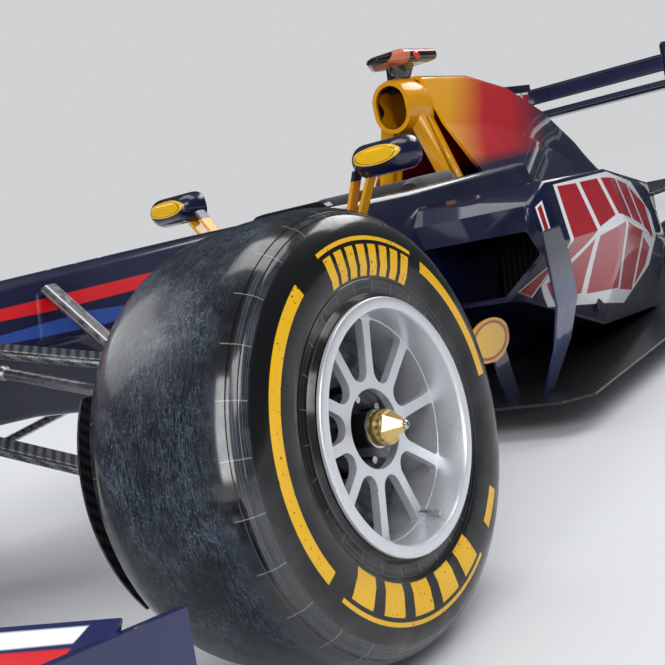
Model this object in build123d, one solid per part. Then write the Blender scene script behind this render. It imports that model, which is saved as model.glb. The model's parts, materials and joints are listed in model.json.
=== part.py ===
"""Open wheel single seater racing car, built up from its separate pieces.

All sizes are in millimetres. +X is the car's left, -Y its nose, +Z up.
The origin lies on the ground under the middle of the car's length and width.
Stations along the car are given as distances behind the front axle.
"""
from build123d import *
import os
from math import cos, radians, sin, tan

# Overall sizes
WHEELBASE = 3150.0
FRONT_OVERHANG = 1150.0
REAR_OVERHANG = 560.0
FRONT_AXLE_Y = (FRONT_OVERHANG - WHEELBASE - REAR_OVERHANG) / 2
PLANK_BOTTOM = 18.0
PLANK_THICKNESS = 10.0
STEP_HEIGHT = 50.0
FLOOR_THICKNESS = 6.0
REFERENCE_Z = PLANK_BOTTOM + PLANK_THICKNESS
STEP_Z = REFERENCE_Z + STEP_HEIGHT
FLOOR_TOP = STEP_Z + FLOOR_THICKNESS
SEAT_GAP = 0.3
RUNNING_FIT = 0.05
MOVING_GAP = 6.0

os.makedirs("parts", exist_ok=True)
nodes = {}


def behind(distance):
    """Y of a station that lies so far behind the front axle"""
    return FRONT_AXLE_Y + distance


def cross_plane(distance):
    """Upright plane across the car: sketch x is world X, sketch y is height"""
    return Plane(origin=(0, behind(distance), 0), x_dir=(1, 0, 0), z_dir=(0, -1, 0))


def span_plane(x):
    """Upright plane along the car: sketch x is world Y, sketch y is height"""
    return Plane(origin=(x, 0, 0), x_dir=(0, 1, 0), z_dir=(1, 0, 0))


def polygon(plane, corners):
    """Face with straight sides"""
    return make_face(plane * Polyline(*corners, close=True))


def rounded(plane, corners, radius):
    """Face with straight sides joined by arcs"""
    return make_face(plane * FilletPolyline(*corners, radius=radius, close=True))


def slab(plane, corners, thickness):
    """Plate that stands on a plane and rises along its normal"""
    return extrude(polygon(plane, corners), thickness, dir=plane.z_dir)


def web(plane, corners, half):
    """Plate that lies equally on both sides of a plane"""
    return extrude(polygon(plane, corners), half, both=True)


def box_between(low, high):
    """Block from its lowest corner to its highest"""
    size = [b - a for a, b in zip(low, high)]
    middle = [(a + b) / 2 for a, b in zip(low, high)]
    return Pos(*middle) * Box(*size)


def bar(start, end, radius):
    """Round bar between two points"""
    start, end = Vector(*start), Vector(*end)
    run = end - start
    align = (Align.CENTER, Align.CENTER, Align.MIN)
    return Plane(origin=start, z_dir=run) * Cylinder(radius, run.length, align=align)


def fairing(start, end, chord, thickness):
    """Streamlined link between two points, its long way along the car"""
    start, end = Vector(*start), Vector(*end)
    run = end - start
    along = Vector(0, 1, 0)
    along = (along - run * (along.dot(run) / run.dot(run))).normalized()
    plane = Plane(origin=start, x_dir=along, z_dir=run)
    return extrude(plane * SlotOverall(chord, thickness), run.length)


def both_sides(solid):
    """The piece and its mirror image on the other side of the car"""
    return [solid, mirror(solid, about=Plane.YZ)]


def keep(name, *pieces):
    """Store the solids that make up one named piece"""
    nodes[name] = Compound([s for piece in pieces for s in piece.solids()])


def tub_section(row, inset=0.0, low_inset=0.0):
    """Cross section with a narrow keel, a wide waist and a narrower top"""
    distance, low_z, low_half, waist_z, waist_half, top_z, top_half = row
    low_half, waist_half, top_half = low_half - inset, waist_half - inset, top_half - inset
    low_z, top_z = low_z + low_inset, top_z - inset
    corners = [(low_half, low_z), (waist_half, waist_z), (top_half, top_z),
               (-top_half, top_z), (-waist_half, waist_z), (-low_half, low_z)]
    return rounded(cross_plane(distance), corners, min(26.0, top_half / 2, low_half / 2))


# Survival cell and nose share one run of sections
NOSE_TIP = 90.0 - FRONT_OVERHANG
BULKHEAD = -230.0
# behind axle, low z, low half, waist z, waist half, top z, top half
NOSE_ROWS = [
    (NOSE_TIP, 395, 70, 435, 92, 478, 72),
    (-700, 410, 78, 490, 118, 572, 92),
    (BULKHEAD, 425, 95, 540, 155, 640, 122),
]
TUB_BACK = WHEELBASE - 1200.0
TUB_TOP = 640.0
TUB_ROWS = [
    NOSE_ROWS[-1],
    (0, 400, 105, 530, 175, 655, 138),
    (450, 300, 130, 500, 215, 655, 160),
    (WHEELBASE - 2300, FLOOR_TOP + 15, 200, 440, 262, 650, 190),
    (WHEELBASE - 1950, FLOOR_TOP, 260, 420, 305, TUB_TOP, 240),
    (TUB_BACK, FLOOR_TOP, 280, 420, 300, TUB_TOP, 235),
]
TUB_WALL = 28.0
COCKPIT_FRONT = WHEELBASE - 2220.0
COCKPIT_BACK = WHEELBASE - 1520.0
COCKPIT_HALF_FRONT = 165.0
COCKPIT_HALF_BACK = 200.0
FOOTWELL_FRONT = -190.0
SEAT_BULKHEAD = COCKPIT_BACK + 30.0

# Front wing
WING_Z = 105.0
PYLON_X = 70.0
PYLON_FRONT = NOSE_TIP + 40.0
PYLON_BACK = NOSE_TIP + 240.0
PYLON_TOP = 420.0
PYLON_THICKNESS = 14.0
ENDPLATE_OUTER = 894.0
ENDPLATE_THICKNESS = 12.0
ENDPLATE_INNER = ENDPLATE_OUTER - ENDPLATE_THICKNESS
NEUTRAL_HALF = 250.0
# Main plane: x, leading edge behind axle, leading edge z, chord, pitch, thickness, camber
MAIN_PLANE = [
    (0, -FRONT_OVERHANG + 30, WING_Z + 6, 300, 1, 24, 1),
    (NEUTRAL_HALF, -FRONT_OVERHANG + 30, WING_Z + 6, 300, 1, 24, 1),
    (420, -FRONT_OVERHANG, WING_Z + 8, 300, 5, 22, 10),
    (ENDPLATE_INNER, -FRONT_OVERHANG + 90, WING_Z + 20, 290, 6, 20, 12),
]
# Flaps: x, leading edge behind axle, leading edge z, chord, pitch
FLAPS = [
    [(330, 270 - FRONT_OVERHANG, WING_Z + 45, 170, 18),
     (ENDPLATE_INNER, 360 - FRONT_OVERHANG, WING_Z + 62, 170, 22)],
    [(360, 415 - FRONT_OVERHANG, WING_Z + 108, 140, 34),
     (ENDPLATE_INNER, 505 - FRONT_OVERHANG, WING_Z + 135, 130, 38)],
]
FLAP_THICK = 12.0
FLAP_CAMBER = 10.0


def foil(x, distance, lead_z, chord, pitch, thick, camber):
    """Downforce wing section at one span position: arcs above and below, round nose"""
    nose = thick * 0.4
    outline = Curve() + [
        ThreePointArc((nose, nose), (0, 0), (nose, -nose)),
        ThreePointArc((nose, -nose), (chord * 0.45, -camber - thick / 2), (chord, -1.5)),
        Line((chord, -1.5), (chord, 1.5)),
        ThreePointArc((chord, 1.5), (chord * 0.5, -camber + thick / 2), (nose, nose)),
    ]
    return make_face(span_plane(x) * (Pos(behind(distance), lead_z) * Rot(0, 0, pitch) * outline))


def above_floor(solid):
    """Cut a body flat where it stands on the floor"""
    return solid - box_between((-900, behind(400), 0), (900, behind(WHEELBASE + 250), FLOOR_TOP))


def tub_form():
    """The tub's outer form, solid"""
    return above_floor(loft([tub_section(row) for row in TUB_ROWS], ruled=True))


def monocoque():
    """Carbon tub, hollow from the footwell to the seat bulkhead and open at the cockpit"""
    outer = nodes["tub_outer"]
    inner = loft([tub_section(row, TUB_WALL, TUB_WALL) for row in TUB_ROWS], ruled=True)
    hollow = inner & box_between((-500, behind(FOOTWELL_FRONT), 0),
                                 (500, behind(SEAT_BULKHEAD), TUB_TOP + 60))
    plan = Plane.XY.offset(TUB_TOP - 220)
    corners = [(-COCKPIT_HALF_FRONT, behind(COCKPIT_FRONT)), (COCKPIT_HALF_FRONT, behind(COCKPIT_FRONT)),
               (COCKPIT_HALF_BACK, behind(COCKPIT_FRONT + 350)), (COCKPIT_HALF_BACK, behind(COCKPIT_BACK)),
               (-COCKPIT_HALF_BACK, behind(COCKPIT_BACK)), (-COCKPIT_HALF_BACK, behind(COCKPIT_FRONT + 350))]
    opening = extrude(rounded(plan, corners, 40), 300, dir=(0, 0, 1))
    y = behind(RACK_STATION)
    rack_hole = bar((-400, y, RACK_Z), (400, y, RACK_Z), RACK_RADIUS + MOVING_GAP)
    return outer - hollow - opening - rack_hole


def nose_cone():
    """Nose with the two pylons that carry the wing"""
    body = loft([tub_section(row) for row in NOSE_ROWS], ruled=True)
    for side in (-1, 1):
        corners = [(behind(PYLON_FRONT), WING_Z + 12), (behind(PYLON_BACK), WING_Z + 12),
                   (behind(PYLON_BACK + 60), PYLON_TOP), (behind(PYLON_FRONT + 40), PYLON_TOP)]
        body += web(span_plane(side * PYLON_X), corners, PYLON_THICKNESS / 2)
    return body - nodes["front_wing_main_plane"]


def front_wing_main():
    """One plane right across, flat in the middle, a half and its mirror image"""
    half = loft([foil(*row) for row in MAIN_PLANE], ruled=True)
    return half + mirror(half, about=Plane.YZ)


def front_wing_flaps():
    """Tapered upper flaps that end at the endplate"""
    made = []
    for rows in FLAPS:
        made += both_sides(loft([foil(*row, FLAP_THICK, FLAP_CAMBER) for row in rows], ruled=True))
    return made


def front_wing_endplates():
    """Upright side plates with a foot along the lower edge"""
    outline = [(70, 75), (650, 75), (680, 298), (510, 324), (200, 250), (60, 140)]
    corners = [(behind(distance - FRONT_OVERHANG), z) for distance, z in outline]
    plate = slab(span_plane(ENDPLATE_INNER), corners, ENDPLATE_THICKNESS)
    foot = box_between((ENDPLATE_INNER - 82, behind(90 - FRONT_OVERHANG), 70),
                       (ENDPLATE_OUTER, behind(630 - FRONT_OVERHANG), 76))
    return both_sides(plate + foot)


# Bodywork behind the cockpit
# behind axle, low z, low half, waist z, waist half, top z, top half
COVER_FRONT = TUB_BACK - 230.0
COVER_ROWS = [
    (COVER_FRONT, TUB_TOP - 80, 250, 810, 112, 974, 62),
    (WHEELBASE - 1080, 470, 250, 780, 105, 966, 48),
    (WHEELBASE - 780, 400, 240, 710, 96, 912, 42),
    (WHEELBASE - 500, 335, 215, 620, 84, 810, 36),
    (WHEELBASE - 260, 315, 185, 520, 104, 672, 36),
    (WHEELBASE - 70, 300, 160, 430, 130, 520, 40),
]
COVER_WALL = 9.0
INTAKE_FRONT = COVER_FRONT - 108.0
INTAKE_BACK = COVER_ROWS[0][0] - SEAT_GAP
INTAKE_Z = 892.0
INTAKE_WIDTH = 128.0
INTAKE_HEIGHT = 158.0
INTAKE_LIP = 13.0
LEG_HALF = 11.0
CAMERA_Z = 1035.0
CAMERA_FRONT = INTAKE_FRONT - 52.0


def oval(distance, z, width, height):
    """Upright round ended slot across the car"""
    half = width / 2
    flat = height / 2 - half
    outline = Curve() + [
        ThreePointArc((half, flat), (0, flat + half), (-half, flat)),
        Line((-half, flat), (-half, -flat)),
        ThreePointArc((-half, -flat), (0, -flat - half), (half, -flat)),
        Line((half, -flat), (half, flat)),
    ]
    return make_face(cross_plane(distance) * (Pos(0, z) * outline))


def engine_cover():
    """Thin shell over the engine, open below and at the tail"""
    outer = loft([tub_section(row) for row in COVER_ROWS], ruled=True)
    inner = loft([tub_section(row, COVER_WALL, -COVER_WALL) for row in COVER_ROWS], ruled=True)
    shell = outer - inner - nodes["tub_outer"]
    left = shell & box_between((0, behind(COVER_FRONT - 100), 0), (400, behind(WHEELBASE + 150), 1200))
    left = link_slots(left - sidepod_block()) - nodes["gearbox"] - nodes["engine_block"]
    return left + mirror(left, about=Plane.YZ)


def air_intake():
    """Roll hoop fairing: an oval mouth on two legs, open into the engine cover"""
    outer = loft([oval(INTAKE_FRONT, INTAKE_Z, INTAKE_WIDTH, INTAKE_HEIGHT),
                  oval(INTAKE_FRONT + 45, INTAKE_Z, INTAKE_WIDTH + 22, INTAKE_HEIGHT + 14),
                  oval(INTAKE_BACK, INTAKE_Z - 16, INTAKE_WIDTH + 40, INTAKE_HEIGHT + 34)])
    duct = loft([oval(INTAKE_FRONT - 1, INTAKE_Z, INTAKE_WIDTH - 2 * INTAKE_LIP,
                      INTAKE_HEIGHT - 2 * INTAKE_LIP),
                 oval(INTAKE_BACK + 1, INTAKE_Z - 12, INTAKE_WIDTH - 4, INTAKE_HEIGHT - 4)])
    for side in (-1, 1):
        corners = [(side * 30, 830), (side * 74, 850), (side * 136, TUB_TOP + SEAT_GAP),
                   (side * 92, TUB_TOP + SEAT_GAP)]
        outer += web(cross_plane(INTAKE_BACK - 56), corners, LEG_HALF)
        outer += web(cross_plane(INTAKE_BACK - LEG_HALF), corners, LEG_HALF)
    return outer - duct


def roof_camera():
    """Camera pod on a short pylon above the intake"""
    pod = loft([rounded(cross_plane(CAMERA_FRONT), [(-20, CAMERA_Z - 8), (20, CAMERA_Z - 8),
                                                    (20, CAMERA_Z + 6), (-20, CAMERA_Z + 6)], 6),
                rounded(cross_plane(CAMERA_FRONT + 90), [(-68, CAMERA_Z - 22), (68, CAMERA_Z - 22),
                                                         (68, CAMERA_Z + 24), (-68, CAMERA_Z + 24)], 20),
                rounded(cross_plane(CAMERA_FRONT + 300), [(-60, CAMERA_Z - 14), (60, CAMERA_Z - 14),
                                                          (60, CAMERA_Z + 22), (-60, CAMERA_Z + 22)], 16)],
               ruled=True)
    corners = [(behind(INTAKE_FRONT + 28), 930), (behind(INTAKE_FRONT + 88), 930),
               (behind(INTAKE_FRONT + 188), CAMERA_Z), (behind(INTAKE_FRONT + 48), CAMERA_Z)]
    return pod + web(span_plane(0), corners, 14) - nodes["air_intake"] - nodes["engine_cover"]


# Sidepods: behind axle, outer half width, low z, low half width, waist z, top z
SIDEPOD_INNER = 190.0
SIDEPOD_FRONT = WHEELBASE - 1998.0
SIDEPOD_ROWS = [
    (SIDEPOD_FRONT, 616, 312, 494, 425, 540),
    (SIDEPOD_FRONT + 60, 642, 296, 502, 430, 588),
    (WHEELBASE - 1600, 672, 150, 560, 420, 575),
    (WHEELBASE - 1050, 590, FLOOR_TOP, 520, 300, 490),
    (WHEELBASE - 500, 370, FLOOR_TOP, 350, 220, 370),
    (WHEELBASE - 150, 275, FLOOR_TOP, 262, 160, 270),
]
SIDEPOD_WALL = 10.0
# The inlet's mouth and throat, columns as above; behind them the hollow follows the outer form
INLET_ROWS = [
    (SIDEPOD_FRONT - 1, 598, 326, 482, 418, 478),
    (SIDEPOD_FRONT + 170, 636, 258, 516, 418, 556),
]


def sidepod_section(row, inset=0.0):
    """Left hand section: undercut low edge, widest at the waist, rounded shoulder"""
    distance, half, low_z, low_half, waist_z, top_z = row
    corners = [(SIDEPOD_INNER, low_z + inset), (low_half - inset, low_z + inset),
               (half - inset, waist_z), (half - inset - 25, top_z - inset),
               (SIDEPOD_INNER, top_z - inset)]
    return rounded(cross_plane(distance), corners, 12)


def sidepod_block():
    """The left sidepod's outer form, solid"""
    return above_floor(loft([sidepod_section(row) for row in SIDEPOD_ROWS], ruled=True))


def sidepod():
    """Left sidepod: a shell beside the tub, its inlet in front and its outlet at the tail"""
    hollow = [sidepod_section(row) for row in INLET_ROWS]
    hollow += [sidepod_section(row, SIDEPOD_WALL) for row in SIDEPOD_ROWS[2:]]
    inner = loft(hollow, ruled=True)
    return link_slots((sidepod_block() - inner) - nodes["tub_outer"])


# Floor, plank and diffuser
FLOOR_FRONT = WHEELBASE - 2140.0
FLOOR_HALF = 700.0
FLOOR_REAR_HALF = 500.0
FLOOR_NARROW_FROM = WHEELBASE - 510.0
FLOOR_NARROW_TO = WHEELBASE - 360.0
SPLITTER_FRONT = WHEELBASE - 2510.0
SPLITTER_HALF = 240.0
FLOOR_BACK = WHEELBASE
DIFFUSER_BACK = WHEELBASE + 350.0
DIFFUSER_Z = 205.0


def floor():
    """Flat floor with a splitter in front, cut in ahead of the rear tyres"""
    half = [(0, SPLITTER_FRONT), (SPLITTER_HALF * 0.7, SPLITTER_FRONT), (SPLITTER_HALF, SPLITTER_FRONT + 60),
            (SPLITTER_HALF + 20, FLOOR_FRONT - 40), (FLOOR_HALF - 60, FLOOR_FRONT),
            (FLOOR_HALF, FLOOR_FRONT + 60), (FLOOR_HALF, FLOOR_NARROW_FROM),
            (FLOOR_REAR_HALF, FLOOR_NARROW_TO), (FLOOR_REAR_HALF, FLOOR_BACK), (0, FLOOR_BACK)]
    corners = [(x, behind(d)) for x, d in half] + [(-x, behind(d)) for x, d in half[-2:0:-1]]
    sheet = slab(Plane.XY.offset(STEP_Z), corners, FLOOR_THICKNESS)
    keel = box_between((-SPLITTER_HALF * 0.62, behind(SPLITTER_FRONT + 10), REFERENCE_Z),
                       (SPLITTER_HALF * 0.62, behind(FLOOR_BACK), STEP_Z))
    return sheet + keel


def plank():
    """Skid block under the keel"""
    return box_between((-SPLITTER_HALF * 0.62, behind(SPLITTER_FRONT + 30), PLANK_BOTTOM),
                       (SPLITTER_HALF * 0.62, behind(FLOOR_BACK - 10), REFERENCE_Z))


def diffuser():
    """Upswept tail of the floor with four upright strakes"""
    corners = [(behind(FLOOR_BACK), STEP_Z), (behind(DIFFUSER_BACK), DIFFUSER_Z),
               (behind(DIFFUSER_BACK), DIFFUSER_Z + FLOOR_THICKNESS), (behind(FLOOR_BACK), FLOOR_TOP)]
    roof = web(span_plane(0), corners, FLOOR_REAR_HALF)
    strake = [(behind(FLOOR_BACK + 20), STEP_Z - 30), (behind(DIFFUSER_BACK), STEP_Z - 12),
              (behind(DIFFUSER_BACK), DIFFUSER_Z + 2), (behind(FLOOR_BACK + 20), STEP_Z + 8)]
    for x in (-FLOOR_REAR_HALF + 3, -300, -130, 130, 300, FLOOR_REAR_HALF - 3):
        roof += web(span_plane(x), strake, 3)
    return roof


# Blade ahead of the sidepod, from its foot up: height, distance out, leading edge and trailing edge
# behind the front axle
VANE_ROWS = [
    (FLOOR_TOP, 560, FLOOR_FRONT + 82, FLOOR_FRONT + 140),
    (200, 618, FLOOR_FRONT + 66, FLOOR_FRONT + 168),
    (300, 652, FLOOR_FRONT + 50, FLOOR_FRONT + 178),
    (400, 656, FLOOR_FRONT + 42, FLOOR_FRONT + 174),
    (478, 650, FLOOR_FRONT + 52, FLOOR_FRONT + 160),
]
VANE_THICKNESS = 7.0
BOARD_X = 478.0
BOARD_STATION = FLOOR_FRONT + 20.0
BOARD_Z = 245.0
BOARD_LENGTH = 210.0
BOARD_HEIGHT = 104.0


def turning_vanes():
    """Bargeboards beside the tub, oval boards on stems, and curved blades ahead of the sidepods"""
    outline = [(FLOOR_FRONT - 20, FLOOR_TOP), (FLOOR_FRONT + 70, FLOOR_TOP), (FLOOR_FRONT + 60, 250),
               (FLOOR_FRONT - 200, 200), (FLOOR_FRONT - 240, 110)]
    board = web(span_plane(345), [(behind(distance), z) for distance, z in outline], 4)
    blade = loft([Plane.XY.offset(z) * Pos(x, behind((lead + trail) / 2))
                  * Rot(0, 0, 90) * SlotOverall(trail - lead, VANE_THICKNESS)
                  for z, x, lead, trail in VANE_ROWS], ruled=True)
    oval_board = span_plane(BOARD_X) * (Pos(behind(BOARD_STATION), BOARD_Z)
                                        * Ellipse(BOARD_LENGTH / 2, BOARD_HEIGHT / 2))
    stem = [(behind(BOARD_STATION + 20), FLOOR_TOP), (behind(BOARD_STATION + 90), FLOOR_TOP),
            (behind(BOARD_STATION + 60), BOARD_Z), (behind(BOARD_STATION - 10), BOARD_Z)]
    oval_board = extrude(oval_board, 3, both=True) + web(span_plane(BOARD_X), stem, 3)
    return both_sides(board) + both_sides(blade) + both_sides(oval_board)


MIRROR_X = 350.0
MIRROR_Z = 730.0
MIRROR_STATION = COCKPIT_FRONT + 15.0


def mirrors():
    """Rear view mirrors, each on two blades from the cockpit side"""
    y = behind(MIRROR_STATION)
    plane = Plane(origin=(MIRROR_X, y - 40, MIRROR_Z), x_dir=(1, 0, 0), z_dir=(0, -1, 0))
    shell = loft([plane * RectangleRounded(110, 36, 17), plane.offset(-34) * RectangleRounded(168, 74, 34),
                  plane.offset(-74) * RectangleRounded(176, 80, 34)])
    for inner, outer in ((196, 268), (226, 316)):
        blade = fairing((inner, y + 14, 575), (outer, y + 4, MIRROR_Z - 16), 40, 9)
        shell += blade - nodes["tub_outer"]
    return both_sides(shell)


def headrest():
    """Padding round the driver's head, a horseshoe open to the front"""
    half = COCKPIT_HALF_BACK - SEAT_GAP
    front, back = behind(COCKPIT_BACK - 300), behind(COCKPIT_BACK - SEAT_GAP)
    low = TUB_TOP - 95
    pad = box_between((-half, front, low), (half, back - 40, TUB_TOP + 25))
    pad += box_between((-half + 40, front, low), (half - 40, back, TUB_TOP + 25))
    return pad - box_between((-125, front - 30, low - 1), (125, behind(COCKPIT_BACK - 85), TUB_TOP + 30))


def seat():
    """Moulded carbon seat shell, reclined"""
    low = FLOOR_TOP + TUB_WALL + SEAT_GAP
    outline = [(-530, low + 42), (-250, low + 14), (-30, 470), (-18, 462), (-238, low), (-530, low + 28)]
    profile = [(behind(COCKPIT_BACK + distance), z) for distance, z in outline]
    return (web(span_plane(0), profile, 165) - nodes["monocoque"]).solids().sort_by(SortBy.VOLUME)[-1]


# Steering: wheel on a straight column to the rack
STEERING_STATION = COCKPIT_FRONT + 62.0
STEERING_Z = 588.0
RACK_STATION = -120.0
RACK_Z = 507.0
COLUMN_RADIUS = 13.0
HOUSING_RADIUS = 24.0
COLUMN_START = (0, behind(RACK_STATION + HOUSING_RADIUS) + SEAT_GAP, RACK_Z + 2)
COLUMN_END = (0, behind(STEERING_STATION), STEERING_Z)
STEERING_WIDTH = 270.0
STEERING_HEIGHT = 150.0
RACK_RADIUS = 11.0
RACK_HALF = 205.0


def steering_wheel():
    """Rectangular wheel with two grips and an open gap beside each"""
    start, end = Vector(*COLUMN_START), Vector(*COLUMN_END)
    plane = Plane(origin=end, x_dir=(1, 0, 0), z_dir=end - start)
    hub = extrude(plane * RectangleRounded(STEERING_WIDTH, STEERING_HEIGHT, 38), 26, dir=plane.z_dir)
    gap = RectangleRounded(30, 74, 14)
    for side in (-1, 1):
        hub -= extrude(plane * Pos(side * 92, 0) * gap, 26, dir=plane.z_dir)
    return hub


def steering_column():
    """Shaft from the steering wheel to the pinion"""
    return bar(COLUMN_START, COLUMN_END, COLUMN_RADIUS)


def steering_rack():
    """Rack housing across the tub with its bore"""
    y = behind(RACK_STATION)
    housing = bar((-150, y, RACK_Z), (150, y, RACK_Z), HOUSING_RADIUS)
    bore = bar((-200, y, RACK_Z), (200, y, RACK_Z), RACK_RADIUS + RUNNING_FIT)
    return housing - bore - nodes["monocoque"]


# Wheels and tyres
BEAD_RADIUS = 165.1
FLANGE_RADIUS = BEAD_RADIUS + 14.9
FLANGE_THICKNESS = 7.6
RIM_WALL = 6.0
TREAD_CROWN = 1200.0
TYRE_WALL = 11.0
LIP_WIDTH = 16.5
NUT_RADIUS = 26.0
NUT_CYLINDER = 58.0
HUB_BORE = 24.0
POCKET_RADIUS = 57.0
HUB_RING = 67.0
CENTRE_THICKNESS = 8.0
CENTRE_DEPTH = 52.0
SPINDLE_REACH = 55.0
SPOKE_COUNT = 10
SPOKE_INSET = 40.4
SPOKE_DEPTH = 28.0
RIM_INSIDE = BEAD_RADIUS - 0.2 - RIM_WALL
DRUM_RADIUS = RIM_INSIDE - 9.9
DISC_RADIUS = DRUM_RADIUS - 19.0
DISC_BACK = -62.0
DISC_THICKNESS = 26.0
SHAFT_RADIUS = 22.0
SLEEVE_RADIUS = 44.0
SLEEVE_FRONT = -36.0
SLEEVE_BACK = -112.0
DRUM_WALL = 3.0
FRONT_TRACK_HALF = 720.0
REAR_TRACK_HALF = 705.0
FRONT_CAMBER = 3.46
REAR_CAMBER = 1.5
# end: behind axle, half track, camber, tyre radius, half tread, half rim width, half width at the tyre's wall
ENDS = {
    "front": (0.0, FRONT_TRACK_HALF, FRONT_CAMBER, 328.0, 116.0, 152.4, 152.0),
    "rear": (WHEELBASE, REAR_TRACK_HALF, REAR_CAMBER, 328.0, 156.0, 174.0, 181.0),
}


def wheel_height(end):
    """Height of the wheel centre, so that the crowned tread just meets the ground"""
    camber, radius = ENDS[end][2], ENDS[end][3]
    return (radius - TREAD_CROWN) * cos(radians(camber)) + TREAD_CROWN


def wheel_plane(end, side):
    """Plane at the wheel centre, its normal pointing out along the cambered axle"""
    distance, track, camber = ENDS[end][:3]
    tilt = radians(camber)
    return Plane(origin=(side * track, behind(distance), wheel_height(end)), x_dir=(0, 1, 0),
                 z_dir=(side * cos(tilt), 0, sin(tilt)))


def turned(end, side, edges):
    """Ring or disc turned about the axle from a profile of radius and offset outwards"""
    profile = make_face(Plane.XZ * (Curve() + edges))
    return wheel_plane(end, side) * revolve(profile, Axis.Z)


def turned_polygon(end, side, corners):
    """The same from straight sides"""
    return turned(end, side, [Polyline(*corners, close=True)])


def tyre(end, side_of_car):
    """Slick tyre, hollow, with a crowned tread, round shoulders and bulging walls"""
    radius, tread, half, wall = ENDS[end][3:]
    edge = radius - tread ** 2 / (2 * TREAD_CROWN)
    shoulder = (edge - 22, tread + 20)
    side = [
        (ThreePointArc, (edge, tread), (edge - 8, tread + 13), shoulder),
        (ThreePointArc, shoulder, (edge - 75, wall), (FLANGE_RADIUS + 1, half)),
        (Line, (FLANGE_RADIUS + 1, half), (BEAD_RADIUS, half)),
        (Line, (BEAD_RADIUS, half), (BEAD_RADIUS, half - 16)),
        (Line, (BEAD_RADIUS, half - 16), (edge - 34, tread + 4)),
        (Line, (edge - 34, tread + 4), (edge - TYRE_WALL, tread - 8)),
    ]
    edges = [ThreePointArc((edge, tread), (radius, 0), (edge, -tread)),
             Line((edge - TYRE_WALL, tread - 8), (edge - TYRE_WALL, 8 - tread))]
    for kind, *points in side:
        edges += [kind(*points), kind(*[(r, -offset) for r, offset in points])]
    return turned(end, side_of_car, edges)


def spoke_face(end):
    """Offset of the spokes' outer face"""
    return ENDS[end][5] - SPOKE_INSET


def rim(end, side):
    """Magnesium rim: flanges, bead seats, a deep barrel, and ten spokes to a ring with the wheel's centre"""
    half, face = ENDS[end][5], spoke_face(end)
    flange = half + FLANGE_THICKNESS
    inside = RIM_INSIDE
    bead_seat = RIM_INSIDE + RIM_WALL
    barrel = turned_polygon(end, side, [
        (FLANGE_RADIUS, flange), (FLANGE_RADIUS, half), (bead_seat, half), (bead_seat, -half),
        (FLANGE_RADIUS, -half), (FLANGE_RADIUS, -flange), (FLANGE_RADIUS - 6, -flange),
        (inside, -half + 12), (inside, face + 4), (FLANGE_RADIUS - LIP_WIDTH, flange)])
    centre = face - CENTRE_DEPTH
    ring = turned_polygon(end, side, [
        (HUB_BORE, centre), (HUB_RING, centre), (HUB_RING, face), (POCKET_RADIUS, face),
        (POCKET_RADIUS, centre + CENTRE_THICKNESS), (HUB_BORE, centre + CENTRE_THICKNESS)])
    plane = wheel_plane(end, side)
    root, tip = HUB_RING - 4, inside + 2
    outline = Polyline((root, -9), (tip, -6), (tip, 6), (root, 9), close=True)
    blade = extrude(make_face(outline), SPOKE_DEPTH, dir=(0, 0, 1))
    blades = [plane * Pos(0, 0, face - 1 - SPOKE_DEPTH) * Rot(0, 0, (k + 0.5) * 360 / SPOKE_COUNT) * blade
              for k in range(SPOKE_COUNT)]
    return ring.fuse(*blades, barrel)


def hub(end, side):
    """Axle with its brake disc, drive flange and conical centre nut"""
    back = SLEEVE_BACK - 6 if end == "front" else -REAR_TRACK_HALF + 165
    face = spoke_face(end)
    seat_low = face - CENTRE_DEPTH - SEAT_GAP
    seat_high = face - CENTRE_DEPTH + CENTRE_THICKNESS + SEAT_GAP
    tip = face + SPINDLE_REACH
    spigot, flange, bell = HUB_BORE - RUNNING_FIT, 60, 70
    disc_face = DISC_BACK + DISC_THICKNESS
    return turned_polygon(end, side, [
        (0, tip), (4, tip), (6.5, tip - 9), (NUT_RADIUS - 3, tip - 37),
        (NUT_RADIUS, seat_high + NUT_CYLINDER),
        (NUT_RADIUS, seat_high), (spigot, seat_high), (spigot, seat_low), (flange, seat_low), (flange, -10),
        (bell, -20), (bell, disc_face), (DISC_RADIUS, disc_face), (DISC_RADIUS, DISC_BACK),
        (flange, DISC_BACK), (flange, -30), (SHAFT_RADIUS, -30), (SHAFT_RADIUS, back), (0, back)])


# Front suspension, left side joints; the kingpin is upright
JOINT_OFFSET = 120.0
KINGPIN_X = FRONT_TRACK_HALF - JOINT_OFFSET
UPPER_JOINT = (KINGPIN_X, behind(0), wheel_height("front") + RIM_INSIDE - 48.5)
LOWER_JOINT = (KINGPIN_X, behind(0), wheel_height("front") - RIM_INSIDE + 44.3)
JOINT_RADIUS = 15.0
STEER_EYE = (KINGPIN_X, behind(73.9 - RIM_INSIDE), 405.0)
EYE_HALF = 6.0
EYE_RADIUS = 14.0
EYE_BORE = 9.5
EYE_PIN = 4.8
LINK_CHORD = 44.0
LINK_THICKNESS = 16.0


def in_tub(x, distance, z):
    """A pickup point just inside the tub's skin"""
    return (x, behind(distance), z)


def front_wishbones():
    """Upper and lower wishbones of both sides, each leg a streamlined link"""
    upper = (fairing(in_tub(150, -225, 590), UPPER_JOINT, LINK_CHORD, LINK_THICKNESS)
             + fairing(in_tub(150, 270, 560), UPPER_JOINT, LINK_CHORD, LINK_THICKNESS)
             + Pos(*UPPER_JOINT) * Sphere(JOINT_RADIUS))
    lower = (fairing(in_tub(90, -200, 440), LOWER_JOINT, LINK_CHORD, LINK_THICKNESS)
             + fairing(in_tub(100, 330, 370), LOWER_JOINT, LINK_CHORD, LINK_THICKNESS)
             + Pos(*LOWER_JOINT) * Sphere(JOINT_RADIUS))
    return both_sides(upper - nodes["tub_outer"]) + both_sides(lower - nodes["tub_outer"])


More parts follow.
